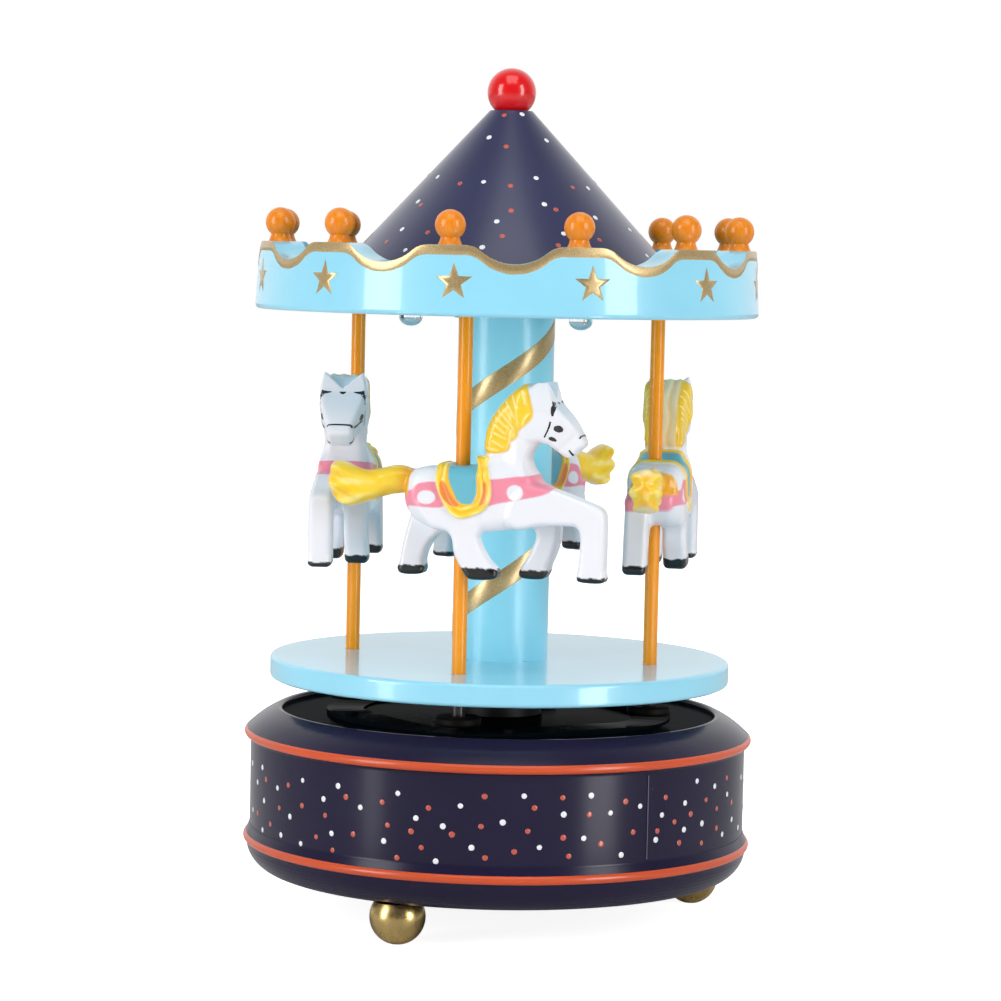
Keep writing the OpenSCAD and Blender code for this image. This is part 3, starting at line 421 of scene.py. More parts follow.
MATERIALS = {
    **{key: lacquer(*values) for key, values in LACQUERS.items()},
    "pole": pole_paint(),
    "knob": stained_wood("knob_paint", (238, 142, 20), (226, 126, 14)),
    "foot": metal("foot_metal", (196, 170, 112), 0.28, (1, 1, 0.3), 700, 0.3),
    "brass": metal("movement_brass", (212, 170, 90), 0.22, (0.2, 1, 1)),
    "steel": metal("movement_steel", (176, 178, 182), 0.25, (1, 0.2, 1)),
    "screw": metal("screw_steel", (184, 186, 190), 0.3, (1, 1, 1), 1800),
    "cell": metal("cell_steel", (200, 200, 202), 0.18, (1, 0.2, 1)),
    "gold": gold_paint(),
    "black": plastic("black_plastic", (18, 18, 20), 0.5),
    "wire": plastic("wire_red", (178, 30, 24), 0.4),
    "epoxy": clear_epoxy(),
    "horse": painted_horse(),
}
RIDERS = (1, 2, 3, 4)
NODE_MATERIALS = {
    "navy": ["base_plinth", "base_band", "base_shoulder", "bottom_board"],
    "cone": ["roof_cone"],
    "deck": ["base_deck", "cam_track"],
    "sky": ["platform", "canopy_ceiling", "canopy_ring"],
    "column": ["column"],
    "knob": ["crown_knobs"],
    "red": ["roof_ball"],
    "foot": ["feet"],
    "screw": ["bottom_screws", "foot_screws", "deck_screws", "movement_screws", "comb_screws", "hub_screws",
              "tie_nut"],
    "brass": ["spindle_bushing", "spring_arbor", "comb_block", "cylinder_brackets", "governor_frame",
              "spring_barrel", "music_cylinder", "governor_wheel"],
    "steel": ["movement_bedplate", "mainspring", "comb", "spindle", "tie_rod", "cylinder_gears", "air_brake"],
    "black": ["platform_hub", "battery_holder", "switch_body", "switch_slider"],
    "cell": ["button_cells"],
    "wire": ["lamp_wires"],
    "epoxy": ["lamps"],
    "pole": [f"pole_{i}" for i in RIDERS],
    "shoe": [f"pole_shoe_{i}" for i in RIDERS],
    "horse": [f"horse_{i}" for i in RIDERS],
}


def finish_nodes():
    for key, names in NODE_MATERIALS.items():
        for name in names:
            piece = NODES[name]
            piece.data.materials.clear()
            piece.data.materials.append(MATERIALS[key])
            sharpen(piece)


# ---- Paint on the base and the cone ----


def bead_line(name, mid):
    """A painted line on a turned bead of the base."""
    half = BEAD_H / 2 * MM
    centre = BEAD_R - half
    reach = half + PAINT_T * MM
    angles = [math.radians(-72 + 144 * i / 12) for i in range(13)]
    profile = [(centre + reach * math.cos(angle), mid + reach * math.sin(angle)) for angle in angles]
    add_piece(name, [turned(profile, 256)], "base", "bead")


def dot(surface, radius):
    """A low drop of paint. surface(u, v) gives the point and normal for small steps in metres."""
    sides = 14
    lift = PAINT_T * MM
    points = []
    for reach, height in ((1.0, -0.3), (0.9, 0.6), (0.5, 1.0)):
        for i in range(sides):
            angle = 2 * math.pi * i / sides
            point, out = surface(radius * reach * math.cos(angle), radius * reach * math.sin(angle))
            points.append(point + out * lift * height)
    centre, normal = surface(0, 0)
    points.append(centre + normal * lift * 0.55)
    return points, cap_faces(3, sides)


def cone_surface(degrees, z, radius_at, slope):
    """A function that gives points near one place on a cone or a cylinder."""
    tilt = math.atan(slope)

    def surface(u, v):
        height = z + v * math.cos(tilt)
        radius = radius_at(height)
        turn = degrees + math.degrees(u / radius)
        out = polar(math.cos(tilt), turn, -math.sin(tilt))
        return polar(radius, turn, height), out

    return surface


def picture_ray(x, y):
    """The direction in which the camera sees a pixel."""
    right, up, back = SCENE.camera.matrix_world.to_3x3().col
    u = (x - PICTURE / 2) / FOCAL_PIXELS
    v = (PICTURE / 2 - y) / FOCAL_PIXELS
    return (right * u + up * v - back).normalized()


def seen_on_cone(x, y, radii, heights):
    """Where the line of sight through a pixel first meets a cone or a cylinder about Z."""
    ray = picture_ray(x, y)
    slope = (radii[1] - radii[0]) / (heights[1] - heights[0])
    base = radii[0] + (CAMERA_AT.z - heights[0]) * slope
    a = ray.x ** 2 + ray.y ** 2 - (slope * ray.z) ** 2
    b = CAMERA_AT.x * ray.x + CAMERA_AT.y * ray.y - base * slope * ray.z
    c = CAMERA_AT.x ** 2 + CAMERA_AT.y ** 2 - base ** 2
    inside = b * b - a * c
    if inside < 0:
        return None
    return CAMERA_AT + ray * ((-b - math.sqrt(inside)) / a)


def scatter(seed, count, spacing, radius_at, z_low, z_high):
    """Places for dots on the far half, spread by hand-like chance with a least spacing."""
    chance = random.Random(seed)
    places = []
    for _ in range(count * 60):
        if len(places) >= count:
            break
        z = z_low + (z_high - z_low) * chance.random()
        radius = radius_at(z)
        if chance.random() > radius / radius_at(z_low):
            continue
        place = polar(radius, -4 + 188 * chance.random(), z)
        if all((place - other).length > spacing for other in places):
            places.append(place)
    return places


def painted_dots(name, body, radii, heights, seen, seed, count, spacing, margin):
    """Dots on a cone: those of the front by their pixels, the rest by chance."""
    z_low, z_high = heights
    slope = (radii[1] - radii[0]) / (z_high - z_low)

    def radius_at(z):
        return radii[0] + (z - z_low) * slope

    hidden = scatter(seed, count, spacing, radius_at, z_low + margin, z_high - margin)
    chance = random.Random(seed + 1)
    for first, (colour, pixels) in enumerate(zip(("white_dot", "red_dot"), seen)):
        places = [seen_on_cone(x, y, radii, heights) for x, y in pixels]
        places = [place for place in places if place and z_low + 0.5 * MM < place.z < z_high - 0.5 * MM]
        parts = []
        for place in places + hidden[first::2]:
            surface = cone_surface(math.degrees(math.atan2(place.y, place.x)), place.z, radius_at, slope)
            parts.append(dot(surface, DOT_R * MM * (0.9 + 0.2 * chance.random())))
        add_piece(f"{name}_{colour}s", parts, body, colour)


# Dots on the front, in pixels of the picture
BAND_WHITE_DOTS = [
    (252.6, 763), (262.4, 767.4), (257.6, 782), (277.4, 788), (302.6, 780.4), (264, 800.6), (253, 809.6),
    (289.8, 816.6), (262.4, 829.8), (280.8, 835), (300.6, 843.6), (338, 786), (323.4, 799),
    (360.2, 807.4), (331.4, 833.4), (358.6, 855), (383.6, 841), (397.8, 793.4), (415.8, 818.2),
    (442.8, 826.4), (460.4, 806), (471.4, 847.8), (435.6, 861.4), (502.8, 822.6), (524.2, 796.2),
    (539.4, 847.6), (563.8, 814.6), (591.4, 795.6), (583.8, 838.4), (610.6, 813), (640.2, 806.2),
    (621.2, 855), (662, 815), (655.8, 839.8), (685.2, 803), (697.2, 781), (714.8, 786.2), (727.2, 794.2),
    (702, 823.4), (684, 829.6), (722.2, 834.2), (731.6, 819.4), (741, 777), (738, 827.4)]
BAND_RED_DOTS = [
    (266, 779.4), (288.2, 785), (279.2, 808), (301.8, 805.6), (257.6, 813), (270.2, 824), (345.8, 797),
    (325, 815.4), (316, 836.8), (332.4, 850.2), (353, 834.2), (382, 802.2), (387.4, 825.2),
    (396.8, 857.8), (411, 831.4), (421.2, 847.6), (428.4, 808), (451.8, 834.6), (484.6, 796.6),
    (481, 826.6), (485, 858), (534.6, 808), (527.8, 831.4), (514.2, 852), (562.8, 797.8), (563.2, 837.8),
    (568.8, 856.4), (589.4, 814.6), (601, 844), (625.8, 801.6), (633.2, 832.2), (651, 789.2),
    (665.8, 797.4), (674.6, 821.8), (657.4, 831), (679.2, 842.8), (690.8, 814), (706.2, 799.8),
    (716.8, 808.4), (716.4, 828), (726.8, 777.8), (701.4, 843), (731.4, 802.4)]
CONE_WHITE_DOTS = [
    (522.2, 114.2), (489, 137.4), (546.6, 140.4), (437.6, 176.8), (483.6, 181.8), (536.2, 178),
    (588.2, 188.2), (418, 201.4), (544.4, 204.2), (496.8, 221.4), (402, 229.2), (595.4, 217.6),
    (629.8, 229.6), (563.8, 233.6), (405.2, 250), (482.2, 247.2), (647, 255.6)]
CONE_RED_DOTS = [
    (504.2, 115), (506.2, 146.4), (460, 183.4), (510.6, 185.8), (572.8, 187.4), (420.8, 204.8),
    (511.2, 210.6), (556, 209.6), (427.6, 232.4), (502.2, 236), (558.4, 245.2), (599.6, 240),
    (386.6, 241.6)]


def base_paint():
    bead_line("upper_bead_line", BAND_HIGH + UPPER_LINE_OUT * MM)
    bead_line("lower_bead_line", BAND_LOW - LOWER_LINE_OUT * MM)
    painted_dots("band", "base", (BAND_R, BAND_R), (BAND_LOW, BAND_HIGH), (BAND_WHITE_DOTS, BAND_RED_DOTS),
                 seed=5, count=88, spacing=3.6 * MM, margin=1.8 * MM)
    seam()
    ball_feet()


def ball_feet():
    """Turned brass balls, a little flat where they stand and where they meet the plinth."""
    top = high("feet").z
    radius = FOOT_BALL_R * MM
    middle = FOOT_BALL_Z * MM
    lowest = -math.asin(middle / radius)
    highest = math.asin((top - middle) / radius)
    angles = [lowest + (highest - lowest) * i / 28 for i in range(29)]
    profile = [(radius * math.cos(angle), middle + radius * math.sin(angle)) for angle in angles]
    profile = [(0, 0), *profile, (0, top)]
    parts = [turned(profile, FOOT_SIDES, polar(FOOT_RING_R * MM, turn, 0)) for turn in FOOT_TURNS]
    piece = add_piece("ball_feet", parts, "base", "foot")
    sharpen(piece)
    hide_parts("feet")


def upright_strip(name, rows, margin, material):
    """A strip as tall as the band at the seam, from rows of (offset round the band, lift)."""
    points = []
    for z in (BAND_LOW + margin * MM, BAND_HIGH - margin * MM):
        for offset, lift in rows:
            points.append(polar(BAND_R + lift * MM, SEAM_TURN + math.degrees(offset * MM / BAND_R), z))
    return add_piece(name, [(points, strip_faces(2, len(rows), flip=True))], "base", material)


def seam():
    """The lap of the bent wood band: a low upright step under the paint, with a painted highlight along its
    edge.
    """
    rows = [(-0.5, 0.01), (-0.12, 0.01), (0, 0.15), (0.5, 0.11), (1.6, 0.01)]
    sharpen(upright_strip("band_seam", rows, 0.1, "navy"), 10)
    # A pale strip along the lap's edge: a painted highlight
    upright_strip("band_seam_painted_highlight", [(-0.16, 0.16), (0.06, 0.16)], 0.4, "seam_highlight_paint")


def cone_paint():
    heights = (CONE_LOW + CONE_FOOT * MM, CONE_HIGH)
    painted_dots("cone", "carousel", (CONE_R, CONE_TOP_R * MM), heights, (CONE_WHITE_DOTS, CONE_RED_DOTS),
                 seed=11, count=32, spacing=5.5 * MM, margin=2 * MM)


# ---- Gold on the canopy and the column ----


def gold_piece(name, parts):
    add_piece(name, parts, "carousel", "gold")


def canopy_radius(z):
    return CANOPY_R - CANOPY_LEAN * MM * (z - CANOPY_LOW) / (CANOPY_HIGH - CANOPY_LOW)


def scallop_top(degrees):
    """Height of the canopy ring's edge, as the source's scallops give it."""
    pitch = 2 * math.pi * CANOPY_R / MM / PEAK_COUNT
    half = (pitch - PEAK_W) / 2
    total = (half * half + SCALLOP_DEPTH ** 2) / (2 * SCALLOP_DEPTH)
    crest = total / 3
    dip = total - crest
    turn = (degrees - PEAK_TURN) % (360 / PEAK_COUNT)
    across = abs(turn / (360 / PEAK_COUNT) - 0.5) * pitch
    if across >= half:
        return CANOPY_HIGH
    meet = half * dip / total
    if across < meet:
        drop = SCALLOP_DEPTH - dip + math.sqrt(dip * dip - across * across)
    else:
        drop = crest - math.sqrt(crest * crest - (half - across) ** 2)
    return CANOPY_HIGH - drop * MM


def gold_trim():
    """The painted band that follows the scalloped edge."""
    steps = 720
    rows = ((0.0, 0.2), (0.06, 1.0), (0.5, 1.1), (0.94, 1.0), (1.0, -0.2))
    points = []
    for i in range(steps):
        degrees = 360 * i / steps
        top = scallop_top(degrees) - 0.03 * MM
        for row, lift in rows:
            z = top - row * TRIM_W * MM
            points.append(polar(canopy_radius(z) + lift * PAINT_T * MM, degrees, z))
    gold_piece("scallop_trim", [(points, strip_faces(steps, len(rows), closed=True, flip=True))])


# How far each star stands round from its peak, in degrees, as a hand stamps them
STAR_SHIFTS = (1.9, 2.1, 3.1, 3.6, 2.4, 1.1, 2.0, 0.2, -0.9, -1.6, -1.5, -0.6)


def gold_stars():
    middle = CANOPY_LOW + STAR_RISE * MM
    parts = []
    for k, shift in enumerate(STAR_SHIFTS):
        degrees = PEAK_TURN + shift + 360 * k / PEAK_COUNT
        points = []
        for reach, lift in ((1.0, -0.2), (0.97, 1.0), (0.45, 1.15)):
            for i in range(10):
                corner = STAR_R * MM * reach * (0.4 if i % 2 else 1)
                z = middle + corner * math.cos(math.pi * i / 5)
                radius = canopy_radius(z)
                turn = degrees + math.degrees(corner * math.sin(math.pi * i / 5) / radius)
                points.append(polar(radius + lift * PAINT_T * MM, turn, z))
        points.append(polar(canopy_radius(middle) + 1.15 * PAINT_T * MM, degrees, middle))
        parts.append((points, cap_faces(3, 10)))
    gold_piece("canopy_stars", parts)


def column_stripe():
    """One gold stripe that winds up the column."""
    low_z = PLATFORM_TOP + 0.05 * MM
    high_z = CEILING_LOW - 0.05 * MM
    turns = (high_z - low_z) / (STRIPE_PITCH * MM) + 0.3
    steps = int(STRIPE_STEPS * turns)
    rows = ((0.0, -0.2), (0.04, 1.0), (0.5, 1.1), (0.96, 1.0), (1.0, -0.2))
    points = []
    for i in range(steps + 1):
        degrees = 360 * turns * i / steps
        middle = low_z + STRIPE_PITCH * MM * (degrees / 360 - 0.15)
        for row, lift in rows:
            z = min(max(middle + (row - 0.5) * STRIPE_W * MM, low_z), high_z)
            points.append(polar(COLUMN_R + lift * PAINT_T * MM, degrees + STRIPE_TURN, z))
    gold_piece("column_stripe", [(points, strip_faces(steps + 1, len(rows)))])


# ---- Horses ----

# Side outlines in millimetres: x ahead of the pole, z above the hoof line
BODY_SIDE = [
    (-11.3, 18.2), (-11, 20.8), (-10, 22.9), (-8, 24.1), (-5, 24.4), (0, 24.4), (4, 24.6), (9, 25.4),
    (13.2, 25.2), (15, 23.2), (17, 21.6), (19.4, 20.4), (20.4, 18.4), (19.6, 15.4), (17.5, 13.2),
    (14, 12.3), (10, 11.6), (5, 11.1), (0, 11.1), (-4, 11.4), (-8, 12.6), (-10.4, 15)]
NECK_SIDE = [
    (4.6, 23), (5.6, 26), (5.9, 28), (6.1, 30.2), (6.7, 32.8), (7.9, 35.7), (9.5, 37.9), (11.2, 39.7),
    (13.2, 41), (15.4, 41.2), (17.2, 38), (17.6, 33), (16.4, 29.9), (15.1, 28.2), (14.5, 26.4),
    (14.9, 24.4), (15.8, 22.4), (14, 20), (6, 20)]
HEAD_SIDE = [
    (13, 40.4), (15.6, 41.2), (18, 40), (19.6, 38.9), (21.2, 37.2), (22.7, 35.7), (24.1, 34.1),
    (25.2, 32.5), (25.9, 31.3), (26.4, 30.3), (26.2, 29.4), (25.2, 28.5), (24.2, 27.5), (23.3, 27),
    (22.2, 27.3), (20.6, 28.4), (18.8, 29.8), (16.8, 30.4), (14.6, 30.4), (12.6, 33), (12, 37)]
EAR_SIDE = [
    (14.6, 40), (15.6, 41.5), (16.9, 42.5), (18.8, 42.7), (19.4, 41.4), (19.8, 39.6), (19.8, 38.2),
    (17.6, 36.4), (15.4, 37)]
TAIL_SIDE = [
    (-9, 22.9), (-10.6, 23.7), (-13, 24.2), (-15.5, 23.9), (-18.5, 23.1), (-20.5, 22.9), (-22.5, 23.4),
    (-25, 24.4), (-27, 24.6), (-28.2, 23.4), (-28.8, 21.2), (-28.4, 18.9), (-27.4, 17), (-25.9, 15.8),
    (-24, 15.3), (-21.8, 15.7), (-19.4, 16.5), (-17.4, 17.3), (-15, 18), (-12.4, 18.5), (-9.8, 18.5)]
NEAR_FRONT_LEG = [
    (14, 20.6), (19, 20.9), (22, 20.3), (25, 19.3), (28, 18.2), (30.3, 17.3), (31.5, 16.1), (31.8, 14.2),
    (31.8, 9), (31.7, 4.6), (31.9, 3.4), (31.4, 1.8), (26.8, 1.8), (26, 2.8), (26.3, 5), (26.6, 9),
    (26.6, 11.4), (25.8, 12.9), (24, 13.2), (18, 13), (13, 12.2), (11, 15)]
FAR_FRONT_LEG = [
    (12, 18), (19.5, 17), (20.6, 12.8), (20.5, 9.6), (19.8, 6.8), (18.8, 4.4), (18.5, 3), (17.2, 1.5),
    (13, 1.5), (12.2, 2.6), (12.9, 4.2), (14.4, 6.6), (15.5, 9.2), (15.7, 10.6), (15, 12), (12, 12.2)]
NEAR_HIND_LEG = [
    (-7.5, 17), (3.5, 16), (5.2, 12.2), (4.9, 10.2), (5.8, 7.8), (7.3, 5.4), (8.9, 3.9), (9.4, 2.8),
    (8.4, 1.6), (3.8, 1.4), (2.4, 2.4), (1.3, 4.2), (0.4, 5.8), (-0.2, 7.6), (-0.6, 9.8), (-1.8, 11.2),
    (-5.5, 12.4)]
FAR_HIND_LEG = [
    (-11, 17.5), (-4, 16.5), (-3.4, 11.4), (-5.2, 10), (-6.8, 8.4), (-7.9, 6.4), (-8.4, 4.4), (-8.3, 2.4),
    (-9.2, 1.4), (-13, 1.3), (-14.1, 2.4), (-13.6, 4.4), (-13.2, 7), (-12.6, 9.8), (-11.8, 12.6),
    (-11.2, 15.2)]
MANE_SIDE = [
    (5.9, 27.9), (5.6, 29.4), (6.1, 32), (7.1, 34.5), (8.3, 36.6), (9.7, 38.3), (11.3, 39.9), (13, 41.2),
    (14.4, 41.7), (15.3, 40), (15.8, 38), (16.2, 36.4), (16, 35), (15.1, 34), (14.2, 33.2), (13.2, 32.2),
    (13, 31.4), (12.2, 30.5), (11.4, 30), (11.2, 28.7), (10.2, 27.9), (7.8, 27.5)]
BLANKET_SIDE = [
    (-4.2, 27), (-4.1, 24), (-3.9, 21.2), (-3.3, 19.2), (-2.2, 16.9), (-0.7, 15.1), (1, 14.1),
    (2.5, 14.1), (4.1, 14.6), (5.8, 15.4), (7.1, 16.7), (7.8, 18.5), (7.9, 20.6), (7.6, 22.4), (6.9, 25),
    (6.2, 27)]
SEAT_SIDE = [
    (-1.8, 27), (-1.6, 24.4), (-1.1, 21.9), (-0.1, 19.6), (1, 17.5), (2.4, 16.9), (3.9, 17.2),
    (4.7, 18.8), (4.9, 20.6), (4.7, 22.8), (4.4, 27)]
BELT_FRONT_SIDE = [
    (6.5, 17), (10, 17.5), (14.4, 18.4), (18, 19.2), (20, 20), (20.8, 20.9), (19, 21.8), (17.4, 23.6),
    (16.6, 24.8), (16, 23.3), (13, 23), (10, 22.5), (6.5, 21.6)]
BELT_HIND_SIDE = [
    (-13, 15.8), (-9, 16.2), (-2, 16.4), (-3.2, 21), (-7.6, 20.9), (-9.4, 19.4), (-13, 19.2)]

STRIPE_HIND_SIDE = [
    (-2.9, 21.4), (-3, 19.7), (-2.3, 18), (-1.1, 16.7), (0.4, 16.3), (1.3, 16.6), (0.4, 17.6),
    (-0.7, 19.2), (-1.8, 21.2)]
STRIPE_FRONT_SIDE = [
    (6.2, 21.5), (6.9, 21.5), (7, 19.2), (6.6, 17.5), (5.5, 16.8), (5.9, 18.6), (6.2, 20.2)]
# Grooves in the mane, from the crest inwards, as (x, z) to (x, z). Their cream paint is a painted highlight.
MANE_GROOVES = [
    ((13.8, 40.3), (14.3, 38)), ((11.6, 39.4), (12.7, 37.2)), ((10.1, 38.2), (12.5, 34.8)),
    ((8.6, 36.2), (12.1, 32.8)), ((8.2, 34.8), (10, 33.2)), ((7.6, 33.6), (9.8, 31.8)),
    ((7.6, 31.8), (10.2, 30.6)), ((7.4, 30.1), (9.7, 28.9)), ((11.4, 32.4), (11, 29.8)),
    ((6.8, 28.6), (8.6, 28.2))]

# The horse is worked out on a grid of this step, in millimetres
GRID = 0.23
GRID_LOW = np.array((-30.6, -7.9, 0.4))
GRID_SIZE = (278, 70, 188)
# How far each horse is turned from its way round the pole ring, in degrees
HORSE_TURNS = (0, 6, 69, 11)
# How far each horse stands to the outside of its pole
HORSE_OUTWARD = 1.0
POLE_TURNS = (255.2, 345.2, 75.2, 165.2)
POLE_RING_R = 33.44
HOOF_RISE = 19
BODY_HALF = 5.75
FRONT_LEG_Y = 3.2
HIND_LEG_Y = 3.5
LEG_HALF = 2.55

WHITE = linear((236, 237, 243))
YELLOW = linear((250, 210, 44))
# Deep yellow: a paint tone of the blanket and mane, also laid as painted shade in the hollows of the mane and
# tail
DEEP_YELLOW = linear((244, 190, 36))
AMBER = linear((238, 158, 30))
# Cream: laid as painted highlights on the blanket, mane and tail
CREAM = linear((255, 238, 150))
PINK = linear((242, 142, 164))
TEAL = linear((104, 184, 204))
ORANGE = linear((240, 138, 62))
BLACK = linear((9, 9, 11))


def rounded_outline(corners, steps=5):
    """A closed Catmull-Rom curve through the corners."""
    count = len(corners)
    points = []
    for i in range(count):
        a, b, c, d = (np.array(corners[(i + k) % count], float) for k in (-1, 0, 1, 2))
        for j in range(steps):
            t = j / steps
            points.append(0.5 * (2 * b + (c - a) * t + (2 * a - 5 * b + 4 * c - d) * t * t
                                 + (3 * b - a - 3 * c + d) * t ** 3))
    return np.array(points)


def outline_distance(corners, x, z):
    """Signed distance in the plane from a rounded outline, negative inside."""
    outline = rounded_outline(corners)
    nearest = np.full(x.shape, 1e9)
    inside = np.zeros(x.shape, bool)
    for a, b in zip(outline, np.roll(outline, -1, axis=0)):
        edge = b - a
        length = max(edge @ edge, 1e-12)
        along = np.clip(((x - a[0]) * edge[0] + (z - a[1]) * edge[1]) / length, 0, 1)
        gap = (x - a[0] - along * edge[0]) ** 2 + (z - a[1] - along * edge[1]) ** 2
        nearest = np.minimum(nearest, gap)
        if a[1] != b[1]:
            crosses = (a[1] > z) != (b[1] > z)
            meets = a[0] + (z - a[1]) * edge[0] / edge[1]
            inside ^= crosses & (x < meets)
    return np.where(inside, -1, 1) * np.sqrt(nearest)


def slab(side, across, radius):
    """A rounded solid from a side distance and a distance across."""
    u = side + radius
    v = across + radius
    return np.minimum(np.maximum(u, v), 0) + np.hypot(np.maximum(u, 0), np.maximum(v, 0)) - radius


def melt(a, b, k):
    """Union of two solids with a fillet."""
    h = np.clip(0.5 + 0.5 * (b - a) / k, 0, 1)
    return b + (a - b) * h - k * h * (1 - h)


def ease(value, start, end):
    t = np.clip((value - start) / (end - start), 0, 1)
    return t * t * (3 - 2 * t)


def horse_field():
    """Signed distance of the whole horse on a grid."""
    nx, ny, nz = GRID_SIZE
    xs = GRID_LOW[0] + GRID * np.arange(nx)
    ys = GRID_LOW[1] + GRID * np.arange(ny)
    zs = GRID_LOW[2] + GRID * np.arange(nz)
    x, z = np.meshgrid(xs, zs, indexing="ij")
    y = ys[None, :, None]

    def side(outline):
        return outline_distance(outline, x, z)[:, None, :]

    def across(middle, half):
        return np.abs(y - middle) - np.broadcast_to(half, x.shape)[:, None, :]

    body_half = BODY_HALF - 0.55 * ease(x, 5, 16)
    body = slab(side(BODY_SIDE), across(0, body_half), 3.2)
    neck_half = 3.85 + 0.75 * ease(x, 9, 13.5) + 0.6 * ease(z, 28, 22)
    neck = slab(side(NECK_SIDE), across(0, neck_half), 2.0)
    along_face = (x - 15) * 0.66 - (z - 38) * 0.75
    head_half = np.interp(along_face, (-2, 3, 6.6, 10.4, 11.2, 14), (4.7, 5.0, 4.5, 3.4, 2.95, 2.7))
    head = slab(side(HEAD_SIDE), across(0, head_half), 1.0)
    notch = (z - 39.0)[:, None, :] - 0.85 * np.abs(y)
    ear_half = 4.95 - 0.26 * np.clip(z - 39.5, 0, 4)
    ears = np.maximum(slab(side(EAR_SIDE), across(0, ear_half), 0.5), notch * 0.75)
    lobes = 0.45 * np.cos(1.9 * z + 0.7 * x) * ease(x, -20, -25)
    tail_half = np.interp(x, (-29, -26, -20, -13, -9), (2.4, 3.1, 2.6, 2.3, 2.0)) + lobes
    tail = slab(side(TAIL_SIDE), across(0, tail_half), 2.6)
    field = melt(body, neck, 2.2)
    field = melt(field, melt(head, ears, 0.5), 1.0)
    for outline, middle in ((NEAR_FRONT_LEG, -FRONT_LEG_Y), (NEAR_HIND_LEG, -HIND_LEG_Y),
                            (FAR_FRONT_LEG, FRONT_LEG_Y), (FAR_HIND_LEG, HIND_LEG_Y)):
        leg = slab(side(outline), across(middle, LEG_HALF), 1.2)
        field = melt(field, leg, 1.3)
    mane_half = 3.95 + 0.5 * ease(x, 10, 14) - 0.5 * ease(z, 39, 42)
    mane = slab(side(MANE_SIDE), across(0, mane_half), 1.7)
    field = melt(field, mane, 0.4)
    return melt(field, tail, 0.9)


def surface_net(field):
    """Quads of the zero surface of a grid of distances, in grid steps."""
    inside = field < 0
    nx, ny, nz = field.shape
    total = np.zeros((nx - 1, ny - 1, nz - 1, 3))
    count = np.zeros((nx - 1, ny - 1, nz - 1))

    def shifted(offset):
        return field[tuple(slice(o, o + n - 1) for o, n in zip(offset, field.shape))]

    for axis in range(3):
        for du in (0, 1):
            for dv in (0, 1):
                offset = [0, 0, 0]
                offset[(axis + 1) % 3] = du
                offset[(axis + 2) % 3] = dv
                a = shifted(offset)
                b = shifted([o + (k == axis) for k, o in enumerate(offset)])
                crossing = (a < 0) != (b < 0)
                fraction = np.where(crossing, a / np.where(crossing, a - b, 1), 0)
                for k in range(3):
                    total[..., k] += np.where(crossing, offset[k] + (fraction if k == axis else 0), 0)
                count += crossing
    used = count > 0
    index = np.full(used.shape, -1)
    index[used] = np.arange(used.sum())
    cells = np.argwhere(used)
    points = cells + total[used] / count[used][:, None]
    quads = []
    for axis in range(3):
        u = (axis + 1) % 3
        v = (axis + 2) % 3
        first = [slice(1, -1)] * 3
        first[axis] = slice(0, -1)
        second = list(first)
        second[axis] = slice(1, None)
        a = inside[tuple(first)]
        b = inside[tuple(second)]
        base = np.argwhere(a != b) + 1
        base[:, axis] -= 1
        flips = a[a != b]
        corners = []
        for du, dv in ((1, 1), (0, 1), (0, 0), (1, 0)):
            cell = base.copy()
            cell[:, u] -= du
            cell[:, v] -= dv
            corners.append(index[tuple(cell.T)])
        quad = np.stack(corners, axis=1)
        quad[~flips] = quad[~flips][:, ::-1]
        quads.append(quad)
    return points, np.concatenate(quads)


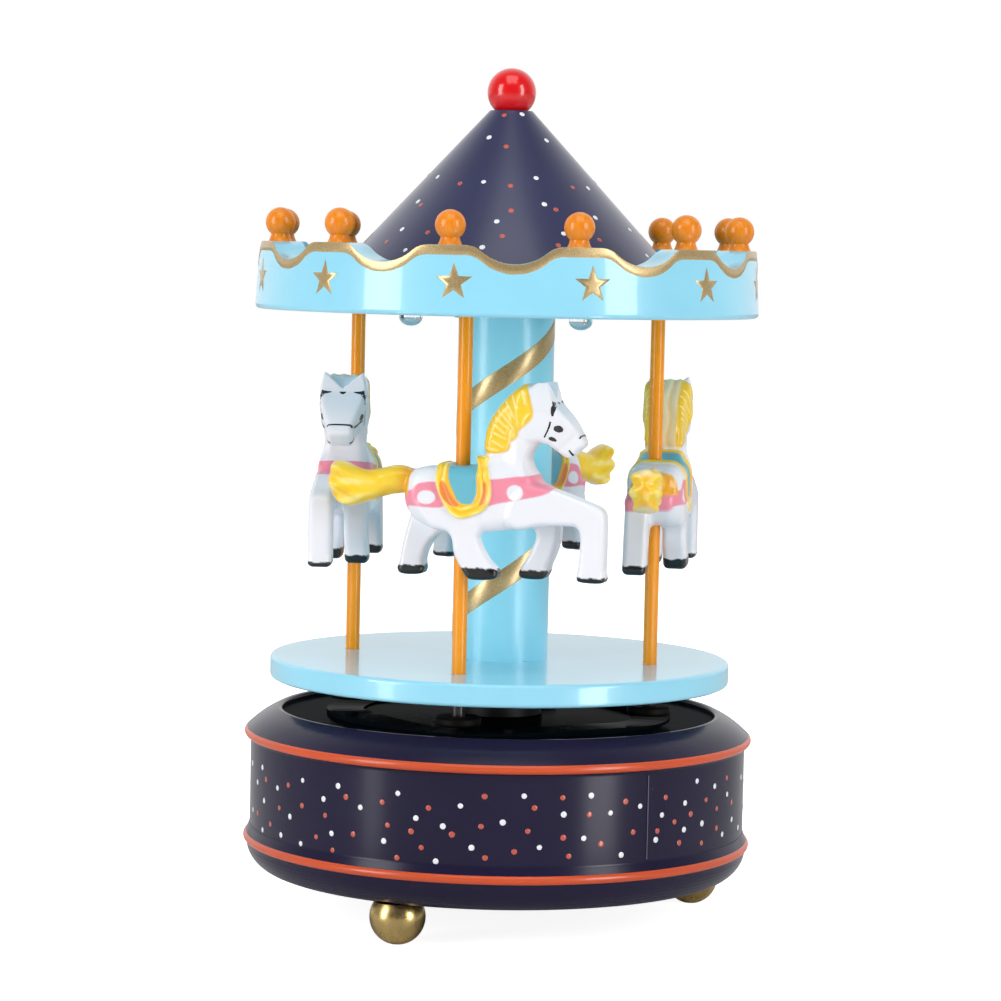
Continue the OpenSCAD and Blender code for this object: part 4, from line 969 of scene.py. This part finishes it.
def horse_paint(points):
    """Relief in millimetres and linear colour for each point of the horse."""
    x, y, z = points.T
    relief = np.zeros(len(points))
    colour = np.tile(WHITE, (len(points), 1))

    def lay(mask, paint, height=0.0):
        nonlocal colour, relief
        colour = colour * (1 - mask[:, None]) + np.outer(mask, paint)
        relief += height * mask

    def within(outline, soft=0.15):
        return 1 - ease(outline_distance(outline, x, z), -soft, soft)

    belt = np.maximum(within(BELT_FRONT_SIDE), within(BELT_HIND_SIDE)) * ease(np.abs(y) + z, 19, 19.5)
    behind = ease(x, -9.9, -10.7) * ease(z, 14.4, 14.9) * ease(z + 0.4 * np.sin(1.7 * y), 19.5, 19.0)
    belt = np.maximum(belt, behind)
    lay(belt * (x > -14), PINK, 0.1)
    for cx, cz, rx, rz in ((12.9, 19.7, 1.75, 1.6), (-5.9, 18.1, 1.95, 1.45)):
        disc = 1 - ease(np.hypot((x - cx) / rx, (z - cz) / rz), 0.92, 1.08)
        lay(disc * (np.abs(y) > 2), WHITE, 0.05)

    blanket = within(BLANKET_SIDE, 0.12)
    depth = -outline_distance(BLANKET_SIDE, x, z)
    seat = within(SEAT_SIDE, 0.12)
    border = blanket * (1 - seat)
    lay(blanket, YELLOW, 0.55)
    lay(border * (1 - ease(np.abs(depth - 1.25), 0.1, 0.34)), DEEP_YELLOW, -0.12)
    lay(border * ease(depth, 2.0, 2.3), DEEP_YELLOW)
    stripe = np.maximum(within(STRIPE_HIND_SIDE), within(STRIPE_FRONT_SIDE))
    lay(border * stripe, ORANGE, -0.1)
    # Cream lines along the border, uneven along their length: painted highlights on its raised rope
    for middle in (0.35, 1.85):
        uneven = 0.55 + 0.45 * np.sin(x * 1.3 + z * 0.9 + middle)
        line = (1 - ease(np.abs(depth - middle), 0.08, 0.3)) * uneven
        lay(border * line * (1 - stripe), CREAM, 0.08)
    lay(seat, TEAL, -0.3)
    pommel = np.exp(-((x - 5.4) / 0.9) ** 2 - ((z - 25.4) / 1.2) ** 2)
    relief += 1.3 * pommel * ease(np.abs(y), 5.2, 3.5)
    cantle = np.exp(-((x + 3.2) / 0.7) ** 2 - ((z - 24.4) / 0.8) ** 2)
    relief += 0.4 * cantle

    mane = np.maximum(within(MANE_SIDE, 0.18), within(MANE_SIDE, 0.95) * ease(np.abs(y), 3.9, 3.5)) * (z > 27)
    lay(mane, YELLOW, 0.22)
    flank = ease(np.abs(y), 2.6, 3.4)
    crest = 1 - ease(-outline_distance(MANE_SIDE, x, z), 0.2, 1.5)
    lay(mane * flank * crest * 0.6, DEEP_YELLOW)
    for (x0, z0), (x1, z1) in MANE_GROOVES:
        dx = x1 - x0
        dz = z1 - z0
        t = np.clip(((x - x0) * dx + (z - z0) * dz) / (dx * dx + dz * dz), 0, 1)
        gap = np.hypot(x - x0 - t * dx, z - z0 - t * dz)
        groove = (1 - ease(gap, 0.1, 0.36)) * (1 - 0.5 * t) * flank * mane
        shade_side = (1 - ease(np.abs(gap - 0.5), 0.1, 0.35)) * flank * mane
        # Deeper yellow beside each groove is painted shade; the cream along it is a painted highlight
        lay(shade_side * 0.35, DEEP_YELLOW)
        lay(groove * 0.9, CREAM, -0.12)
    lock = np.cos(y * 2.9 + 0.9 * np.sin(z * 0.8) + 0.6) * (1 - flank)
    # Cream on the ridges of the locks is painted highlight, deeper yellow in their hollows is painted shade
    lay(mane * ease(lock, 0.75, 1.0) * 0.35 * (1 - flank), CREAM)
    lay(mane * ease(lock, -0.1, -1.0) * 0.9, DEEP_YELLOW)
    relief += mane * 0.22 * lock

    patch = (1 - ease(np.hypot(y / 3.0, (z - 20.3) / 3.6), 0.72, 1.15)) * ease(x, -9.5, -10.2)
    lay(patch, AMBER)
    root = ease(x, -9.8, -10.4) * (1 - ease(np.abs(z - 20.9), 2.2, 2.7))
    tail_mask = np.maximum(ease(x, -11.0, -11.5), root) * within(TAIL_SIDE, 0.6)
    fan = ease(x, -16, -22)
    phase = 27 * np.arctan2(z - 22.0, x + 8.0) + 0.7 * np.sin(0.5 * np.hypot(x + 8.0, z - 22.0))
    lock = 0.65 * np.cos(phase) * fan + 0.5 * np.cos(y * 2.5 + 0.9 * np.sin(z * 0.9 + x))
    lay(tail_mask, YELLOW)
    # Deeper yellow in the hollows of the locks is painted shade, cream on their ridges is painted highlight
    lay(tail_mask * ease(lock, -0.05, -0.9) * 0.7, DEEP_YELLOW)
    lay(tail_mask * ease(lock, 0.3, 1.0) * (0.35 + 0.3 * fan), CREAM)
    lay(tail_mask * ease(x, -14.5, -10.4) * 0.8, AMBER)
    relief += tail_mask * 0.16 * lock

    wobble = 0.25 * np.sin(x * 2.1 + y * 1.7) + 0.15 * np.sin(x * 5.3 - y * 2.9)
    hoof_top = 3.3 + 0.45 * wobble + 0.6 * ease(x, -2, 4) * ease(x, 11, 8) - 0.5 * ease(x, 24, 27)
    hoof = 1 - ease(z, hoof_top - 0.1, hoof_top + 0.1)
    lay(hoof, BLACK)

    collar = np.abs(outline_distance(NECK_SIDE, x, z) + 0.7)
    edge = (1 - ease(collar, 0.12, 0.4)) * ease(x, 13.0, 14) * ease(z, 29.5, 28.5) * ease(z, 22, 23)
    relief += 0.16 * edge
    cheek = 1 - ease(np.hypot(x - 17.6, z - 33.2), 3.2, 3.9)
    relief += 0.18 * cheek * (np.abs(y) > 2)
    return relief, colour


def horse_mesh():
    points, quads = surface_net(horse_field())
    points = points * GRID + GRID_LOW
    mesh = bpy.data.meshes.new("horse")
    mesh.vertices.add(len(points))
    mesh.vertices.foreach_set("co", points.ravel())
    mesh.loops.add(len(quads) * 4)
    mesh.loops.foreach_set("vertex_index", quads.ravel().astype(np.int32))
    mesh.polygons.add(len(quads))
    mesh.polygons.foreach_set("loop_start", np.arange(0, len(quads) * 4, 4, dtype=np.int32))
    mesh.update()
    mesh.validate()
    normals = np.empty(len(points) * 3)
    mesh.vertices.foreach_get("normal", normals)
    normals = normals.reshape(-1, 3)
    relief, colour = horse_paint(points)
    moved = (points + normals * relief[:, None]) * MM
    mesh.vertices.foreach_set("co", moved.ravel())
    paint = mesh.color_attributes.new("paint", "FLOAT_COLOR", "POINT")
    paint.data.foreach_set("color", np.column_stack([colour, np.ones(len(colour))]).ravel())
    mesh.update()
    mesh.shade_smooth()
    mesh.materials.append(MATERIALS["horse"])
    return mesh


# Black strokes on the head as sides and rows of (x, z, half width)
FACE_STROKES = [
    ((-1, 1), [(20.2, 35.6, 0.18), (20.2, 36.3, 0.36), (20.35, 37, 0.5), (20.4, 37.5, 0.46),
               (20.4, 37.9, 0.2)]),
    ((-1, 1), [(20.5, 33.2, 0.32), (20.9, 33.1, 0.62), (21.5, 33, 0.74), (22, 33, 0.6), (22.3, 33.1, 0.25)]),
    ((-1,), [(19.4, 31.0, 0.22), (19.9, 31.0, 0.42), (20.4, 30.8, 0.4), (20.9, 30.5, 0.16)]),
    ((1,), [(20.2, 32.3, 0.14), (21.5, 31.9, 0.3), (23.2, 31.3, 0.34), (24.8, 30.8, 0.2)]),
    ((-1, 1), [(19.8, 34.5, 0.18), (19.6, 33.6, 0.2), (19.2, 32.6, 0.16), (18.5, 31.2, 0.16)]),
    ((-1, 1), [(26, 31.2, 0.12), (25.4, 30.6, 0.14), (24.6, 29.9, 0.16), (23.8, 29, 0.2),
               (23.4, 28.7, 0.24), (22.9, 28.8, 0.18), (22.3, 29, 0.14)]),
    ((-1, 1), [(23.4, 28.7, 0.18), (23.9, 28.0, 0.2), (24.2, 27.6, 0.26)]),
]
# Black strokes across the front of the face as rows of (y, z, half width)
FRONT_STROKES = [
    [(-4.6, 38.3, 0.4), (-4.0, 38.2, 0.34), (-3.2, 38.2, 0.22), (-2.4, 38.3, 0.1)],
    [(4.6, 38.3, 0.4), (4.0, 38.2, 0.34), (3.2, 38.2, 0.22), (2.4, 38.3, 0.1)],
    [(-0.7, 38.3, 0.08), (-0.2, 38.1, 0.26), (0.2, 38.1, 0.26), (0.7, 38.3, 0.08)],
    [(-2.7, 31.1, 0.12), (-2.3, 31.5, 0.14), (-1, 31.6, 0.16), (1, 31.6, 0.17), (2.3, 31.5, 0.2),
     (2.8, 31, 0.24)],
]


def finer(rows, steps=4):
    """Rows with more between them, on straight lines."""
    made = []
    for first, second in zip(rows, rows[1:]):
        for k in range(steps):
            made.append(tuple(a + (b - a) * k / steps for a, b in zip(first, second)))
    return made + [rows[-1]]


def side_look(side):
    """Rays at one side of the head, by x and z, and the middle that they draw back to."""
    def ray(x, z):
        return Vector((x, 12 * side, z)), Vector((0, -side, 0))

    return ray, Vector((19, 33))


def front_look():
    """Rays at the front of the head, by y and z, and the middle that they draw back to."""
    def ray(y, z):
        return Vector((40, y, z)), Vector((-1, 0, 0))

    return ray, Vector((0, 34))


def stroke(rows, look, tree):
    """A painted stroke laid on the head, or None where it would miss the head."""
    ray, middle = look
    points = []
    rows = finer(rows)
    for i, (u, v, half) in enumerate(rows):
        before = rows[max(i - 1, 0)]
        after = rows[min(i + 1, len(rows) - 1)]
        along = Vector((after[0] - before[0], after[1] - before[1])).normalized()
        for share in (-1, 0, 1):
            place = Vector((u - along.y * half * share, v + along.x * half * share))
            for _ in range(30):
                start, towards = ray(place.x, place.y)
                hit, normal, *_ = tree.ray_cast(start * MM, towards)
                if hit is not None:
                    break
                place = place.lerp(Vector((u, v)), 0.1) if share else place.lerp(middle, 0.02)
            else:
                return None
            points.append(hit + normal * (0.03 if share else 0.05) * MM)
    return points, strip_faces(len(rows), 3, flip=True)


def face_marks(mesh):
    """All black strokes on the head of a horse, as one mesh."""
    tree = BVHTree.FromPolygons([v.co for v in mesh.vertices], [tuple(p.vertices) for p in mesh.polygons])
    parts = [stroke(rows, side_look(side), tree) for sides, rows in FACE_STROKES for side in sides]
    parts += [stroke(rows, front_look(), tree) for rows in FRONT_STROKES]
    points, faces = merged(part for part in parts if part)
    marks = bpy.data.meshes.new("horse_marks")
    marks.from_pydata(points, [], faces)
    marks.materials.append(MATERIALS["ink"])
    return marks


def make_horses():
    body = horse_mesh()
    marks = face_marks(body)
    shift = Matrix.Translation((0, -HORSE_OUTWARD * MM, 0))
    for i, pole_turn, turn in zip(RIDERS, POLE_TURNS, HORSE_TURNS):
        place = Matrix.Translation(polar(POLE_RING_R * MM, pole_turn, PLATFORM_TOP + HOOF_RISE * MM))
        heading = Matrix.Rotation(math.radians(pole_turn + 90 + turn), 4, "Z")
        for name, mesh in (("painted_horse", body), ("horse_marks", marks)):
            piece = put(f"{name}_{i}", mesh)
            piece.matrix_world = place @ heading @ shift
            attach(piece, f"rider_{i}")
            if mesh is body:
                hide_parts(f"horse_{i}")


# ---- Studio ----

WORLD_LIGHT = 1.0
# Grey of the room from the front, behind the camera, to the white wall at the back
WORLD_GREYS = [(0.42, 0.12), (0.6, 0.4), (0.8, 0.95)]
FLOOR_GLOW = 0.88
FLOOR_HALF = 3
# What the soft boxes look at, and how the gloss cards stand to the band, in millimetres
SOFT_BOX_AIM = Vector((0, 0, 90))
CARD_REACH = 105
CARD_TALL = 60
CARD_Z = 31


def world():
    """White for the camera and through glass. Light and gloss get a room that is grey in front."""
    made = bpy.data.worlds.new("studio")
    SCENE.world = made
    g = Graph(made)
    place = g.node("TexCoord").outputs["Generated"]
    depth = g.node("MapRange", From_Min=-1, Value=g.node("SeparateXYZ", Vector=place).outputs["Y"])
    greys = [(position, (grey, grey * 1.005, grey * 1.01)) for position, grey in WORLD_GREYS]
    room = g.node("Background", Strength=WORLD_LIGHT, Color=g.ramp(depth.outputs["Result"], greys))
    white = g.node("Background", Strength=1, Color=(1, 1, 1, 1))
    path = g.node("LightPath").outputs
    seen = g.node("Math", operation="MAXIMUM")
    g.feed(seen.inputs[0], path["Is Camera Ray"])
    g.feed(seen.inputs[1], path["Is Transmission Ray"])
    g.node("OutputWorld", Surface=g.choose(seen.outputs["Value"], room.outputs[0], white.outputs[0]))


def area_light(name, place, aim, width, tall, power):
    """A rectangle of light at a place, turned to shine along aim."""
    data = bpy.data.lights.new(name, "AREA")
    data.shape = "RECTANGLE"
    data.size = width
    data.size_y = tall
    data.energy = power
    lamp = put(name, data)
    lamp.location = place
    lamp.rotation_euler = aim.to_track_quat("-Z", "Y").to_euler()
    return lamp


def soft_box(name, degrees, distance, height, width, tall, power):
    """A large light that looks at the middle of the object."""
    place = polar(distance, degrees, height)
    area_light(name, place, SOFT_BOX_AIM * MM - place, width, tall, power)


def gloss_card(name, point, turn, width, radiance):
    """A small light that only shows in gloss, seen from a point on the band, in millimetres."""
    out = Vector((math.sin(math.radians(turn)), -math.cos(math.radians(turn)), 0))
    place = Vector((*point, CARD_Z)) + out * CARD_REACH
    power = radiance * math.pi * width * CARD_TALL * MM ** 2
    lamp = area_light(name, place * MM, -out, width * MM, CARD_TALL * MM, power)
    lamp.visible_diffuse = False
    lamp.visible_camera = False


def floor():
    """A pale floor that reads as white and keeps the object's shadow."""
    mesh = bpy.data.meshes.new("floor")
    corners = [(x * FLOOR_HALF, y * FLOOR_HALF, 0) for x, y in ((-1, -1), (1, -1), (1, 1), (-1, 1))]
    mesh.from_pydata(corners, [], [(0, 1, 2, 3)])
    put("floor", mesh)
    made = bpy.data.materials.new("floor")
    mesh.materials.append(made)
    g = Graph(made)
    diffuse = g.node("BsdfDiffuse", Color=(0.8, 0.8, 0.8, 1))
    glow = g.node("Emission", Strength=FLOOR_GLOW)
    dark = g.node("Emission", Strength=0)
    seen = g.node("LightPath").outputs["Is Camera Ray"]
    total = g.node("AddShader")
    g.feed(total.inputs[0], diffuse.outputs["BSDF"])
    g.feed(total.inputs[1], g.choose(seen, dark.outputs[0], glow.outputs[0]))
    g.node("OutputMaterial", Surface=total.outputs["Shader"])


def studio():
    world()
    floor()
    soft_box("left_box", 270 - 57, 1.1, 0.25, 0.36, 1.1, 9.5)
    soft_box("right_box", 270 + 51, 1.1, 0.25, 0.3, 1.1, 8)
    soft_box("top_box", 270, 0.5, 1.2, 0.9, 0.9, 6)
    gloss_card("right_card", (22, -48), 47, 34, 6.5)
    gloss_card("left_card", (-26, -46), -58, 20, 4)
    SCENE.view_settings.view_transform = "Standard"


# ---- All of it ----

make_camera()
studio()
finish_nodes()
base_paint()
cone_paint()
gold_trim()
gold_stars()
column_stripe()
make_horses()
